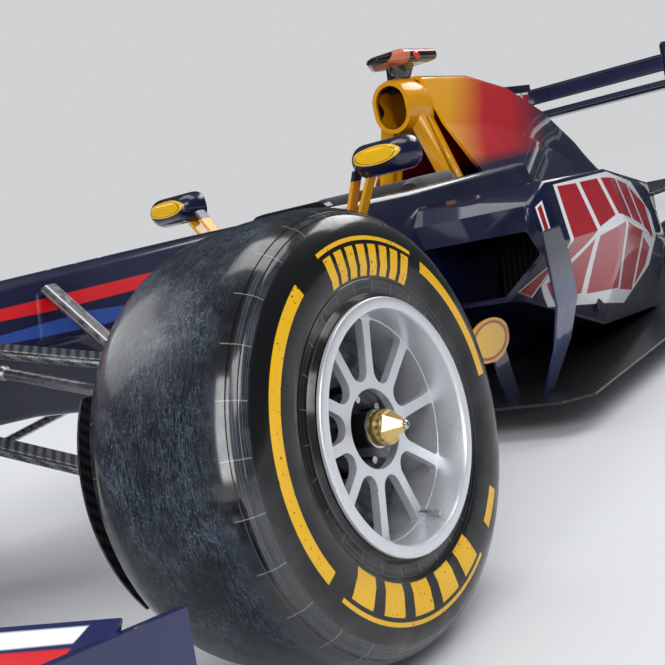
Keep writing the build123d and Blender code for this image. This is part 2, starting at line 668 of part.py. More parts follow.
def front_pushrods():
    """Pushrods from the lower wishbone's outer end up to the top of the tub"""
    rod = fairing((575, behind(20), 262), (160, behind(50), 622), 34, 20)
    return both_sides(rod - nodes["tub_outer"])


PILLAR_INNER = 18.0
PILLAR_OUTER = 42.0
PILLAR_HALF = 20.0
LUG_HALF = 16.0
LUG_HEIGHT = 12.0


def sleeve(end):
    """Bearing housing round the left axle"""
    bore = SHAFT_RADIUS + RUNNING_FIT
    return turned_polygon(end, 1, [(bore, SLEEVE_FRONT), (SLEEVE_RADIUS, SLEEVE_FRONT),
                                   (SLEEVE_RADIUS, SLEEVE_BACK), (bore, SLEEVE_BACK)])


def axle_clearance(end):
    """Room for the left axle through the knuckle's pillar"""
    return turned_polygon(end, 1, [(0, 0), (SHAFT_RADIUS + RUNNING_FIT, 0),
                                   (SHAFT_RADIUS + RUNNING_FIT, -400), (0, -400)])


def caliper(end):
    """Brake caliper behind the left axle, bridging the disc's rim, with its bracket"""
    plane = wheel_plane(end, 1)
    inner, outer = DISC_BACK - 16, DISC_BACK + DISC_THICKNESS + 14
    block = Pos(122, 0, (inner + outer) / 2) * Box(48, 90, outer - inner)
    block = block & Cylinder(DRUM_RADIUS - DRUM_WALL - 1, 400)
    slot = Pos(0, 0, DISC_BACK + DISC_THICKNESS / 2) * Cylinder(DISC_RADIUS + MOVING_GAP, DISC_THICKNESS + 10)
    bracket = Pos(80, 0, inner + 4) * Box(90, 50, 8)
    return plane * ((block - slot) + bracket)


def knuckle(end, upper, lower):
    """Left knuckle: bearing sleeve, pillar, a lug beyond each ball joint, and the caliper"""
    x, y, _ = upper
    reach_z = JOINT_RADIUS + SEAT_GAP + LUG_HEIGHT
    body = sleeve(end) + box_between((x + PILLAR_INNER, y - PILLAR_HALF, lower[2] - reach_z),
                                     (x + PILLAR_OUTER, y + PILLAR_HALF, upper[2] + reach_z))
    for joint, reach in ((upper, 1), (lower, -1)):
        near = joint[2] + reach * (JOINT_RADIUS + SEAT_GAP)
        far = near + reach * LUG_HEIGHT
        body += box_between((joint[0] - LUG_HALF, joint[1] - LUG_HALF, min(near, far)),
                            (joint[0] + PILLAR_OUTER, joint[1] + LUG_HALF, max(near, far)))
    return body + caliper(end) - axle_clearance(end)


def front_upright():
    """Left front knuckle with its steering arm and the pin of the track rod's eye"""
    body = knuckle("front", UPPER_JOINT, LOWER_JOINT)
    x, y, z = STEER_EYE
    arm_top = z - EYE_HALF - MOVING_GAP
    body += box_between((x - 10, y - 10, arm_top - 12),
                        (x + PILLAR_OUTER, UPPER_JOINT[1] - PILLAR_HALF + 4, arm_top))
    return body + bar((x, y, arm_top - 2), (x, y, z + EYE_HALF), EYE_PIN) - axle_clearance("front")


PLATE_RADIUS = 285.0
PLATE_HALF_HEIGHT = 155.0


def brake_duct(end, upright):
    """Left brake duct: a drum round the disc, and a curved plate behind the rim"""
    plane = wheel_plane(end, 1)
    inner_face = -ENDS[end][5] - 32
    drum = turned_polygon(end, 1, [(DRUM_RADIUS - DRUM_WALL, -22), (DRUM_RADIUS, -22),
                                   (DRUM_RADIUS, inner_face), (DRUM_RADIUS - DRUM_WALL, inner_face)])
    wall = turned_polygon(end, 1, [(SLEEVE_RADIUS - 2, SLEEVE_BACK + 18), (DRUM_RADIUS, SLEEVE_BACK + 18),
                                   (DRUM_RADIUS, SLEEVE_BACK + 22), (SLEEVE_RADIUS - 2, SLEEVE_BACK + 22)])
    disc = Pos(0, 0, inner_face + 2) * (Cylinder(PLATE_RADIUS, 4) - Cylinder(DRUM_RADIUS - DRUM_WALL, 4))
    disc = disc & Box(PLATE_RADIUS * 2, PLATE_HALF_HEIGHT * 2, 1000)
    y, z = behind(ENDS[end][0]), wheel_height(end)
    top_cut = box_between((300, y - 162, z + 44), (ENDS[end][1] + SLEEVE_BACK + 10, y + 140, z + 300))
    low_cut = box_between((300, y - 90, z - 300), (ENDS[end][1] + SLEEVE_BACK + 10, y + 90, z - 60))
    return drum + wall + plane * disc - top_cut - low_cut - upright


def track_rods():
    """Rack bar and both track rods with their outer eyes, one sliding piece"""
    y = behind(RACK_STATION)
    eye, end = Vector(*STEER_EYE), Vector(RACK_HALF, y, RACK_Z)
    reach = (end - eye).normalized() * (EYE_RADIUS - 3)
    joint = Pos(*end) * Rot(37, 37, 0) * Sphere(RACK_RADIUS + 2)
    ring = Pos(*eye) * (Cylinder(EYE_RADIUS, 2 * EYE_HALF) - Cylinder(EYE_BORE, 4 * EYE_HALF))
    rod = bar(tuple(end), tuple(eye + reach), RACK_RADIUS - 1.5) + ring
    half = bar((0, y, RACK_Z), tuple(end), RACK_RADIUS) + joint + rod
    return half + mirror(half, about=Plane.YZ)


# Rear end
ENGINE_BACK = WHEELBASE - 660.0
ENGINE_HALF = 178.0
ENGINE_TOP = 440.0
GEARBOX_BACK = WHEELBASE + 110.0
REAR_JOINT_X = REAR_TRACK_HALF - JOINT_OFFSET
REAR_UPPER_JOINT = (REAR_JOINT_X, behind(WHEELBASE), wheel_height("rear") + RIM_INSIDE - 57.2)
REAR_LOWER_JOINT = (REAR_JOINT_X, behind(WHEELBASE), wheel_height("rear") - RIM_INSIDE + 45.6)
OUTPUT_X = 175.0
CUP_RADIUS = SHAFT_RADIUS + 22.0


def engine_block():
    """The engine's mass as one plain block behind the tub"""
    return box_between((-ENGINE_HALF, behind(TUB_BACK) + SEAT_GAP, FLOOR_TOP + SEAT_GAP),
                       (ENGINE_HALF, behind(ENGINE_BACK), ENGINE_TOP))


def gearbox():
    """Tapered case bolted to the engine, the crash structure behind it, and the output cups"""
    case = loft([rounded(cross_plane(d), [(-h, low), (h, low), (h, top), (-h, top)], 16)
                 for d, h, low, top in GEARBOX_ROWS], ruled=True)
    upright = (Align.CENTER, Align.CENTER, Align.MIN)
    for side in (1, -1):
        shaft = wheel_plane("rear", side)
        cup = Pos(0, 0, -REAR_TRACK_HALF + 60) * Cylinder(CUP_RADIUS, OUTPUT_X - 60, align=upright)
        bore = Pos(0, 0, -REAR_TRACK_HALF + 158) * Cylinder(SHAFT_RADIUS + MOVING_GAP, 100, align=upright)
        case = case + shaft * cup - shaft * bore
    return case


# behind axle, half width, low z, top z
GEARBOX_ROWS = [
    (ENGINE_BACK + SEAT_GAP, 130, 100, 400),
    (WHEELBASE - 250, 105, 115, 390),
    (GEARBOX_BACK, 85, 190, 385),
    (WHEELBASE + REAR_OVERHANG, 45, 262, 345),
]


EXHAUST_BACK = WHEELBASE - 90.0


def exhaust_pipes():
    """Tail pipes from the back of the engine"""
    pipe = bar((148, behind(ENGINE_BACK) + SEAT_GAP, 300), (148, behind(EXHAUST_BACK), 252), 33)
    pipe -= bar((148, behind(ENGINE_BACK + 40), 297), (148, behind(EXHAUST_BACK + 1), 252), 30)
    return both_sides(pipe - nodes["gearbox"] - nodes["engine_block"])


# Rear links: start x, behind axle, z, then the outer end
REAR_UPPER_LEGS = [(80, WHEELBASE - 390, 365), (70, WHEELBASE + 75, 370)]
REAR_LOWER_LEGS = [(80, WHEELBASE - 350, 185), (60, WHEELBASE + 90, 215)]
PULLROD_OUTER = (REAR_JOINT_X - 22, behind(WHEELBASE - 45), 400)
PULLROD_INNER = (80, behind(WHEELBASE - 190), 150)
PULLROD_CHORD = 30.0


def rear_wishbones():
    """Upper and lower wishbones of both sides, rooted on the gearbox"""
    made = []
    for joint, legs in ((REAR_UPPER_JOINT, REAR_UPPER_LEGS), (REAR_LOWER_JOINT, REAR_LOWER_LEGS)):
        arm = Pos(*joint) * Sphere(JOINT_RADIUS)
        for x, distance, z in legs:
            arm += fairing((x, behind(distance), z), joint, LINK_CHORD, LINK_THICKNESS)
        made += both_sides(arm - nodes["gearbox"])
    return made


def rear_pullrods():
    """Pullrods from the upper joint down and forward to the gearbox's foot"""
    rod = fairing(PULLROD_OUTER, PULLROD_INNER, PULLROD_CHORD, LINK_THICKNESS)
    return both_sides(rod - nodes["gearbox"])


def link_slots(solid):
    """Cut room for the left rear links through a body panel"""
    room = 2 * MOVING_GAP
    for joint, legs in ((REAR_UPPER_JOINT, REAR_UPPER_LEGS), (REAR_LOWER_JOINT, REAR_LOWER_LEGS)):
        for x, distance, z in legs:
            solid -= fairing((x, behind(distance), z), joint, LINK_CHORD + room, LINK_THICKNESS + room)
    solid -= fairing(PULLROD_INNER, PULLROD_OUTER, PULLROD_CHORD + room, LINK_THICKNESS + room)
    return solid


# Rear wing: endplates, main plane, flap on its pivots, and the beam wing
REAR_WING_HALF = 375.0
REAR_PLATE_THICKNESS = 10.0
REAR_INNER = REAR_WING_HALF - REAR_PLATE_THICKNESS
# Wing elements: leading edge behind axle, its height, chord, pitch, thickness, camber
REAR_MAIN = (WHEELBASE + 65, 800.0, 215.0, 9, 20, 16)
REAR_FLAP = (WHEELBASE + 242, 872.0, 116.0, 40, 11, 8)
BEAM_WING = (WHEELBASE + 140, 388.0, 150.0, 10, 16, 12)
FLAP_GAP = 6.0
PIVOT_RADIUS = 6.0
PIVOT_STATION = WHEELBASE + 318.0
PIVOT_Z = 934.0
PIVOT = (0, behind(PIVOT_STATION), PIVOT_Z)


def diffuser_top(distance):
    """Height of the diffuser's upper face at a station"""
    share = (distance - FLOOR_BACK) / (DIFFUSER_BACK - FLOOR_BACK)
    return FLOOR_TOP + share * (DIFFUSER_Z + FLOOR_THICKNESS - FLOOR_TOP)


def rear_wing_endplates():
    """Tall side plates that stand on the diffuser, with a bore for each flap pivot"""
    sink = FLOOR_THICKNESS / 2
    leg_front, leg_back = WHEELBASE + 120, WHEELBASE + 290
    outline = [(WHEELBASE, 640), (WHEELBASE, 960), (WHEELBASE + 30, 975), (WHEELBASE + 350, 975),
               (WHEELBASE + 350, 560), (leg_back, 420), (leg_back, diffuser_top(leg_back) - sink),
               (leg_front, diffuser_top(leg_front) - sink), (leg_front, 420)]
    corners = [(behind(distance), z) for distance, z in outline]
    plate = slab(span_plane(REAR_INNER), corners, REAR_PLATE_THICKNESS)
    plate -= bar((REAR_INNER - 1, PIVOT[1], PIVOT_Z), (REAR_WING_HALF + 1, PIVOT[1], PIVOT_Z),
                 PIVOT_RADIUS + RUNNING_FIT)
    return both_sides(plate - nodes["diffuser"])


def plane_between(half, row):
    """A wing element of constant section across the car"""
    return loft([foil(-half, *row), foil(half, *row)], ruled=True)


def rear_wing_main():
    """Main plane between the endplates"""
    return plane_between(REAR_INNER, REAR_MAIN)


def rear_wing_flap():
    """Flap that lifts at its leading edge, on two pivots near the trailing edge"""
    blade = plane_between(REAR_INNER - FLAP_GAP, REAR_FLAP)
    pin = bar((-REAR_WING_HALF, PIVOT[1], PIVOT_Z), (REAR_WING_HALF, PIVOT[1], PIVOT_Z), PIVOT_RADIUS)
    return blade + pin


def beam_wing():
    """Lower element that ties the endplates to the crash structure"""
    return plane_between(REAR_INNER, BEAM_WING) - nodes["gearbox"]


def mirrored(solid):
    """The right hand twin of a left hand piece"""
    return mirror(solid, about=Plane.YZ)


nodes["tub_outer"] = tub_form()
keep("monocoque", monocoque())
keep("front_wing_main_plane", front_wing_main())
keep("nose_cone", nose_cone())
keep("front_wing_flaps", *front_wing_flaps())
keep("front_wing_endplates", *front_wing_endplates())
keep("engine_block", engine_block())
keep("gearbox", gearbox())
left_pod = sidepod()
keep("sidepod_left", left_pod)
keep("sidepod_right", mirrored(left_pod))
keep("engine_cover", engine_cover())
keep("air_intake", air_intake())
keep("roof_camera", roof_camera())
keep("floor", floor())
keep("plank", plank())
keep("diffuser", diffuser())
keep("turning_vanes", *turning_vanes())
keep("mirrors", *mirrors())
keep("headrest", headrest())
keep("seat", seat())
keep("steering_wheel", steering_wheel())
keep("steering_column", steering_column() - nodes["steering_wheel"])
keep("steering_rack", steering_rack())
keep("track_rods", track_rods())
keep("front_wishbones", *front_wishbones())
keep("front_pushrods", *front_pushrods())
keep("exhaust_pipes", *exhaust_pipes())
keep("rear_wishbones", *rear_wishbones())
keep("rear_pullrods", *rear_pullrods())
keep("rear_wing_endplates", *rear_wing_endplates())
keep("rear_wing_main_plane", rear_wing_main())
keep("rear_wing_flap", rear_wing_flap())
keep("beam_wing", beam_wing())
uprights = {"front": front_upright(), "rear": knuckle("rear", REAR_UPPER_JOINT, REAR_LOWER_JOINT)}
keep("front_upright_left", uprights["front"])
keep("front_upright_right", mirrored(uprights["front"]))
keep("rear_uprights", *both_sides(uprights["rear"]))
for end, upright in uprights.items():
    duct = brake_duct(end, upright)
    keep(f"{end}_brake_duct_left", duct)
    keep(f"{end}_brake_duct_right", mirrored(duct))
    for hand, side in (("left", 1), ("right", -1)):
        keep(f"{end}_tyre_{hand}", tyre(end, side))
        keep(f"{end}_rim_{hand}", rim(end, side))
        keep(f"{end}_hub_{hand}", hub(end, side))
del nodes["tub_outer"]

for name, piece in nodes.items():
    export_step(piece, f"parts/{name}.step")
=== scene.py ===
# Open wheel racing car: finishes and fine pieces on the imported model, in metres
import json
from math import cos, hypot, pi, radians, sin

import bmesh
import bpy
from mathutils import Matrix, Vector
from mathutils.bvhtree import BVHTree


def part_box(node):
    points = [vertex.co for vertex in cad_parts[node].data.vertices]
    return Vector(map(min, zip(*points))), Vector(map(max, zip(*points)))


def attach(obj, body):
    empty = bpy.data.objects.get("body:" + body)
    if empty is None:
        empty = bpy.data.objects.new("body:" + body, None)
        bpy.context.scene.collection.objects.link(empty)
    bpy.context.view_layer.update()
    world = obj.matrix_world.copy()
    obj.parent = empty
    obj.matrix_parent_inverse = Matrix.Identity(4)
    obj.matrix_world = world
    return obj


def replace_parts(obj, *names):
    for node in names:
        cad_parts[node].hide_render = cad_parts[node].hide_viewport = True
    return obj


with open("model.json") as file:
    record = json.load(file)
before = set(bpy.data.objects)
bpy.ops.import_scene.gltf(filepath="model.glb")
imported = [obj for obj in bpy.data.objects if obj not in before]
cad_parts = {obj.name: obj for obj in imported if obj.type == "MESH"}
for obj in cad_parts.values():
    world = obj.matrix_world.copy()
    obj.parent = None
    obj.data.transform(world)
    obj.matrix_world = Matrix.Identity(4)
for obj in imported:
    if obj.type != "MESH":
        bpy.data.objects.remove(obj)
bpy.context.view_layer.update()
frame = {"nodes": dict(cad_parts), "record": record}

# Camera and studio. The camera stands low beside the left front wheel, looks back along the car and
# leans to its left. Floor and sky are pale, wide soft lamps hang above and beside the car, and two
# upright strips behind the camera streak the tyre's shoulder.
CAMERA_PLACE = (1.6542, -2.4177, 0.6599)
CAMERA_TURN, CAMERA_DIP, CAMERA_LEAN = radians(-37.0), radians(-7.2), radians(-13.3)
CAMERA_LENS = 55.3
SIGHT_LIMIT = 200
SMOOTH_ANGLE = radians(32)
FLOOR_SIZE = 60.0
# the floor's paint gives way to an even pale glow between these distances from the middle
GLOW_START, GLOW_FULL = 3.5, 8.0
PALE, PALE_STRENGTH = "EDEEF0", 0.75
# place, aim, width, height, power
LAMPS = [
    ((3.5, -4.5, 4.0), (0, -0.6, 0.3), 3.5, 2.5, 115),
    ((-5.0, -1.5, 3.8), (0, 0, 0.4), 4.0, 2.2, 120),
    ((1.5, 4.5, 4.2), (0, 1.0, 0.4), 4.5, 2.0, 130),
    ((0.5, 0.3, 5.5), (0, 0.3, 0), 2.2, 6.0, 110),
    ((2.35, -3.55, 1.45), (0.75, -1.3, 0.35), 0.25, 2.3, 9),
    ((0.98, -4.20, 1.50), (0.75, -1.3, 0.35), 0.60, 2.4, 30),
]


def linear(code):
    """Linear colour from an sRGB hex code"""
    parts = [int(code[i:i + 2], 16) / 255 for i in (0, 2, 4)]
    return [p / 12.92 if p <= 0.04045 else ((p + 0.055) / 1.055) ** 2.4 for p in parts] + [1.0]


def node(tree, kind, settings=None, *inputs, **named):
    """Adds a shader node with its operation or other settings, and sets or links its inputs"""
    made = tree.nodes.new("ShaderNode" + kind)
    if isinstance(settings, str):
        settings = {"operation": settings}
    for name, value in (settings or {}).items():
        setattr(made, name, value)
    wanted = list(enumerate(inputs)) + [(name.replace("_", " "), value) for name, value in named.items()]
    for key, value in wanted:
        if isinstance(value, bpy.types.Node):
            value = value.outputs[0]
        if isinstance(value, bpy.types.NodeSocket):
            tree.links.new(value, made.inputs[key])
        elif value is not None:
            made.inputs[key].default_value = value
    return made


def surface(name, **values):
    """A new material with its tree and shader, plain values set on the shader"""
    material = bpy.data.materials.new(name)
    material.use_nodes = True
    tree = material.node_tree
    shader = tree.nodes["Principled BSDF"]
    for key, value in values.items():
        shader.inputs[key.replace("_", " ")].default_value = value
    return material, tree, shader


def join(tree, source, shader, socket):
    """Links a node's first output to one of the shader's sockets"""
    tree.links.new(source.outputs[0], shader.inputs[socket])


def finished(form, name, material):
    """Turns a bmesh into an object at the origin, smooth except at its sharp edges"""
    mesh = bpy.data.meshes.new(name)
    form.to_mesh(mesh)
    form.free()
    mesh.shade_smooth()
    mesh.set_sharp_from_angle(angle=SMOOTH_ANGLE)
    mesh.materials.append(material)
    made = bpy.data.objects.new(name, mesh)
    bpy.context.scene.collection.objects.link(made)
    return made


ahead = Vector((sin(CAMERA_TURN) * cos(CAMERA_DIP), cos(CAMERA_TURN) * cos(CAMERA_DIP), sin(CAMERA_DIP)))
level = Vector((cos(CAMERA_TURN), -sin(CAMERA_TURN), 0))
above = level.cross(ahead)
right = cos(CAMERA_LEAN) * level + sin(CAMERA_LEAN) * above
upward = cos(CAMERA_LEAN) * above - sin(CAMERA_LEAN) * level
lens = bpy.data.cameras.new("camera")
lens.lens = CAMERA_LENS
lens.clip_end = SIGHT_LIMIT
camera = bpy.data.objects.new("camera", lens)
looking = Matrix((right, upward, -ahead)).transposed().to_4x4()
camera.matrix_world = Matrix.Translation(CAMERA_PLACE) @ looking
bpy.context.scene.collection.objects.link(camera)
bpy.context.scene.camera = camera
bpy.context.scene.view_settings.view_transform = "Standard"

world = bpy.data.worlds.new("studio")
bpy.context.scene.world = world
world.use_nodes = True
sky = world.node_tree
rays = node(sky, "LightPath").outputs
seen = node(sky, "Math", "MAXIMUM", rays["Is Camera Ray"], rays["Is Transmission Ray"])
mirrored = node(sky, "MixRGB", None, rays["Is Glossy Ray"], linear("B4B8BE"), linear("43474E"))
backdrop = sky.nodes["Background"]
join(sky, node(sky, "MixRGB", None, seen, mirrored, linear(PALE)), backdrop, "Color")
backdrop.inputs["Strength"].default_value = PALE_STRENGTH

for k, (place, aim, width, height, power) in enumerate(LAMPS):
    lamp = bpy.data.lights.new(f"softbox_{k}", "AREA")
    lamp.shape = "RECTANGLE"
    lamp.size, lamp.size_y, lamp.energy = width, height, power
    holder = bpy.data.objects.new(f"softbox_{k}", lamp)
    holder.location = place
    holder.rotation_euler = (Vector(aim) - Vector(place)).to_track_quat("-Z", "Y").to_euler()
    bpy.context.scene.collection.objects.link(holder)

floor_paint, tree, shader = surface("studio_floor", Roughness=0.6, Specular_IOR_Level=0.2)
grain = node(tree, "TexNoise", None, Scale=3.0, Detail=4.0)
tone = node(tree, "MixRGB", None, grain, linear("DDDEE0"), linear("E6E7E9"))
away = node(tree, "VectorMath", "LENGTH", node(tree, "TexCoord").outputs["Object"]).outputs["Value"]
glow = node(tree, "MapRange", None, away, GLOW_START, GLOW_FULL, 0.0, 1.0)
join(tree, node(tree, "MixRGB", None, glow, tone, linear("000000")), shader, "Base Color")
rays = node(tree, "LightPath").outputs
seen = node(tree, "Math", "MAXIMUM", rays["Is Camera Ray"], rays["Is Glossy Ray"])
shown = node(tree, "Math", "MULTIPLY", glow, seen)
shader.inputs["Emission Color"].default_value = linear(PALE)
join(tree, node(tree, "Math", "MULTIPLY", shown, PALE_STRENGTH), shader, "Emission Strength")
form = bmesh.new()
bmesh.ops.create_grid(form, x_segments=1, y_segments=1, size=FLOOR_SIZE / 2)
finished(form, "studio_floor", floor_paint)

# Tub and nose. Carbon shells in dark blue paint under clear lacquer, with a red flash over a light
# blue one along each side. Polygons on the car's own coordinates draw the flashes.
NAVY, DUSTY_NAVY, ROYAL, RED, WHITE = "0C1130", "10163C", "2A4796", "D0141E", "EEF0F2"
MERGE = 1e-5
# the flashes begin this far from the middle, clear of the nose's top
FLASH_START = (0.070, 0.071)
# colour, then corners as (y, z) along the nose and along the tub
FLASHES = [
    (ROYAL, [(-2.34, 0.405), (-1.51, 0.536), (-1.51, 0.566), (-2.34, 0.425)],
     [(-1.52, 0.535), (-1.16, 0.534), (-0.78, 0.505), (-0.78, 0.522), (-1.16, 0.565), (-1.52, 0.565)]),
    (RED, [(-2.34, 0.436), (-1.51, 0.588), (-1.51, 0.612), (-2.34, 0.458)],
     [(-1.52, 0.587), (-1.231, 0.582), (-0.62, 0.548), (-0.62, 0.598), (-1.52, 0.611)]),
]


def split(tree):
    """Object coordinates and their three parts"""
    place = node(tree, "TexCoord").outputs["Object"]
    return place, *node(tree, "SeparateXYZ", None, place).outputs


def shape(tree, u, v, corners):
    """Distance outside a convex polygon on two coordinates, negative inside it"""
    point = node(tree, "CombineXYZ", None, u, v, 1.0)
    sides = list(zip(corners, corners[1:] + corners[:1]))
    area = sum(p[0] * q[1] - q[0] * p[1] for p, q in sides)
    reach = None
    for (a, b), (c, d) in sides:
        long = hypot(c - a, d - b) * (1 if area > 0 else -1)
        out = ((d - b) / long, (a - c) / long)
        line = (out[0], out[1], -out[0] * a - out[1] * b)
        away = node(tree, "VectorMath", "DOT_PRODUCT", point, line).outputs["Value"]
        reach = away if reach is None else node(tree, "Math", "MAXIMUM", reach, away)
    return reach


def within(tree, distance, margin=0.0, soft=0.0008):
    """1 where a distance is under a margin, with a soft edge"""
    return node(tree, "MapRange", None, distance, margin - soft, margin + soft, 1.0, 0.0)


def both(tree, first, *rest):
    """The product of masks"""
    for other in rest:
        first = node(tree, "Math", "MULTIPLY", first, other)
    return first


def painted(tree, base, *layers):
    """Colour over colour: each layer is a mask and a hex code or a node"""
    for mask, code in layers:
        base = node(tree, "MixRGB", None, mask, base, linear(code) if isinstance(code, str) else code)
    return base


def marked(tree, tone, u, v, corners, code, mask=1.0, edge=0.0):
    """Paints a polygon where a mask allows, with a white edge if that has a width"""
    outside = shape(tree, u, v, corners)
    if edge:
        tone = painted(tree, tone, (both(tree, within(tree, outside, edge), mask), WHITE))
    return painted(tree, tone, (both(tree, within(tree, outside), mask), code))


def grained(material, scale, detail, strength, depth):
    """Breaks a surface up with a fine bump"""
    tree = material.node_tree
    place = node(tree, "TexCoord").outputs["Object"]
    grain = node(tree, "TexNoise", None, Vector=place, Scale=scale, Detail=detail)
    bump = node(tree, "Bump", None, Strength=strength, Distance=depth, Height=grain.outputs[0])
    join(tree, bump, tree.nodes["Principled BSDF"], "Normal")


def lacquered(name, design=None):
    """Body paint: smooth under clear lacquer, its gloss broken by faint orange peel and dust"""
    material, tree, shader = surface(name, Roughness=0.38, Specular_IOR_Level=0.3, Coat_Weight=1.0,
                                     Coat_Roughness=0.04)
    grained(material, 260.0, 2.0, 0.035, 0.0006)
    place, x, y, z = split(tree)
    dust = node(tree, "TexNoise", None, Vector=place, Scale=7.0, Detail=8.0, Roughness=0.7)
    join(tree, node(tree, "MapRange", None, dust.outputs[0], 0.35, 0.75, 0.30, 0.46), shader, "Roughness")
    navy = node(tree, "MixRGB", None, dust, linear(NAVY), linear(DUSTY_NAVY))
    join(tree, design(tree, navy, x, y, z) if design else navy, shader, "Base Color")
    return material


def fitted(form, name, material, body):
    """Makes a form an object that rides on a body"""
    made = finished(form, name, material)
    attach(made, body)
    return made


def shell(material, slot, body, *names):
    """Stands smooth copies in for CAD shells: triangles joined, and sharp only where panels meet"""
    for name in names:
        form = bmesh.new()
        form.from_mesh(frame["nodes"][name].data)
        bmesh.ops.remove_doubles(form, verts=form.verts, dist=MERGE)
        made = fitted(form, f"{name}_shell", material, body)
        made.modifiers.new("even_shading", "WEIGHTED_NORMAL").keep_sharp = True
        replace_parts(made, name)


def flashes(tree, navy, x, y, z):
    """A red and a light blue flash along each side"""
    outer = node(tree, "MapRange", None, node(tree, "Math", "ABSOLUTE", x), *FLASH_START, 0.0, 1.0)
    tone = navy
    for code, *parts in FLASHES:
        for corners in parts:
            tone = marked(tree, tone, y, z, corners, code, outer)
    return tone


body_paint = lacquered("navy_lacquer_with_flashes", flashes)
shell(body_paint, "navy_body", "chassis", "monocoque", "nose_cone")

# Wing planes. The front wing's main plane and the rear wing's main plane and flap are moulded carbon
# in the same dark blue paint, without marks.
navy_paint = lacquered("navy_lacquer")
shell(navy_paint, "navy_body", "chassis", "front_wing_main_plane", "rear_wing_main_plane")
shell(navy_paint, "navy_body", "wing_flap", "rear_wing_flap")

# Front wing. Carbon in the same paint mixed a little bluer, with white and red bands across the upper
# flaps' tails and a white edged red shard on each endplate.
WING_BLUE, WING_BLUE_SHARE = "17205A", 0.7
# corners as (y, z), edge, and where the endplate's outer face begins
WING_SHARD = [(-2.26, 0.135), (-2.05, 0.225), (-1.86, 0.225), (-1.92, 0.135)]
WING_SHARD_EDGE = 0.012
PLATE_START = (0.8815, 0.8820)
# colour, corners as (distance from the middle, y); the bands lie on what is above this height
WING_BANDS = [
    (WHITE, [(0.50, -1.884), (0.843, -1.833), (0.830, -1.846), (0.74, -1.861), (0.50, -1.899)]),
    (RED, [(0.50, -1.902), (0.74, -1.864), (0.830, -1.849), (0.815, -1.880), (0.72, -1.912),
           (0.50, -1.950)]),
]
BAND_LEVEL = 0.225


def wing_marks(tree, navy, x, y, z):
    """A shard on each endplate and bands on the upper flaps"""
    side = node(tree, "Math", "ABSOLUTE", x)
    plate = node(tree, "MapRange", None, side, *PLATE_START, 0.0, 1.0)
    tone = painted(tree, navy, (WING_BLUE_SHARE, WING_BLUE))
    tone = marked(tree, tone, y, z, WING_SHARD, RED, plate, WING_SHARD_EDGE)
    high = node(tree, "Math", "GREATER_THAN", z, BAND_LEVEL)
    for code, corners in WING_BANDS:
        tone = marked(tree, tone, side, y, corners, code, high)
    return tone


wing_paint = lacquered("navy_lacquer_with_wing_bands", wing_marks)
shell(wing_paint, "navy_body", "chassis", "front_wing_flaps", "front_wing_endplates")

# Sidepods. Shells in the same paint, with a white panel of red shards on each flank, and a thin red bar
# and a small red shard with white edges at the front corner.
SHARD_RED, FRONT_RED = "B01C2B", "A5121E"
FLANK_START, CORNER_START = (0.43, 0.44), (0.515, 0.520)
POD_PANEL = [(-0.030, 0.572), (-0.050, 0.330), (0.020, 0.262), (0.420, 0.180), (0.640, 0.250),
             (0.700, 0.400), (0.560, 0.512), (0.270, 0.566)]
POD_SHARDS = [
    [(-0.014, 0.566), (0.085, 0.560), (0.110, 0.430), (-0.030, 0.350)],
    [(0.105, 0.560), (0.205, 0.556), (0.235, 0.450), (0.130, 0.435)],
    [(-0.032, 0.330), (0.108, 0.410), (0.130, 0.270), (0.030, 0.275)],
    [(0.225, 0.555), (0.350, 0.540), (0.385, 0.420), (0.255, 0.450)],
    [(0.132, 0.412), (0.285, 0.425), (0.330, 0.240), (0.155, 0.262)],
    [(0.370, 0.535), (0.480, 0.512), (0.510, 0.385), (0.405, 0.415)],
    [(0.310, 0.420), (0.490, 0.370), (0.480, 0.205), (0.352, 0.232)],
    [(0.500, 0.505), (0.650, 0.430), (0.620, 0.330), (0.532, 0.375)],
    [(0.512, 0.350), (0.612, 0.305), (0.590, 0.255), (0.502, 0.215)],
]
FRONT_MARKS = [[(-0.108, 0.528), (-0.114, 0.440), (-0.103, 0.440), (-0.096, 0.534)],
               [(-0.124, 0.330), (-0.052, 0.392), (-0.060, 0.306)]]
FRONT_MARK_EDGE = 0.005


def pod_marks(tree, navy, x, y, z):
    """The panel of shards on each flank and the marks at the front corner"""
    side = node(tree, "Math", "ABSOLUTE", x)
    flank = node(tree, "MapRange", None, side, *FLANK_START, 0.0, 1.0)
    corner = node(tree, "MapRange", None, side, *CORNER_START, 0.0, 1.0)
    tone = marked(tree, navy, y, z, POD_PANEL, WHITE, flank)
    for corners in POD_SHARDS:
        tone = marked(tree, tone, y, z, corners, SHARD_RED, flank)
    for corners in FRONT_MARKS:
        tone = marked(tree, tone, y, z, corners, FRONT_RED, corner, FRONT_MARK_EDGE)
    return tone


pod_paint = lacquered("navy_lacquer_with_shards", pod_marks)
shell(pod_paint, "navy_body", "chassis", "sidepod_left", "sidepod_right")

# Engine cover. One long carbon shell whose paint runs from the intake's yellow through red into dark
# blue, at a slant that reaches further back near the top.
YELLOW, COVER_RED = "F2A900", "C8101C"
COLOUR_SLANT, COLOUR_ORIGIN = -1.3, 1.222
YELLOW_TO_RED, RED_TO_NAVY = (0.62, 0.90), (1.16, 1.56)
NAVY_LEVEL = (0.655, 0.695)


def cover_colours(tree, navy, x, y, z):
    """Yellow, red and dark blue in turn along the cover, dark blue below"""
    swept = node(tree, "Math", "MULTIPLY_ADD", z, COLOUR_SLANT, node(tree, "Math", "ADD", y, COLOUR_ORIGIN))
    warm = node(tree, "MapRange", None, swept, *YELLOW_TO_RED, 0.0, 1.0)
    cold = node(tree, "MapRange", None, swept, *RED_TO_NAVY, 0.0, 1.0)
    low = node(tree, "MapRange", None, z, *NAVY_LEVEL, 1.0, 0.0)
    return painted(tree, linear(YELLOW), (warm, COVER_RED), (cold, navy), (low, navy))


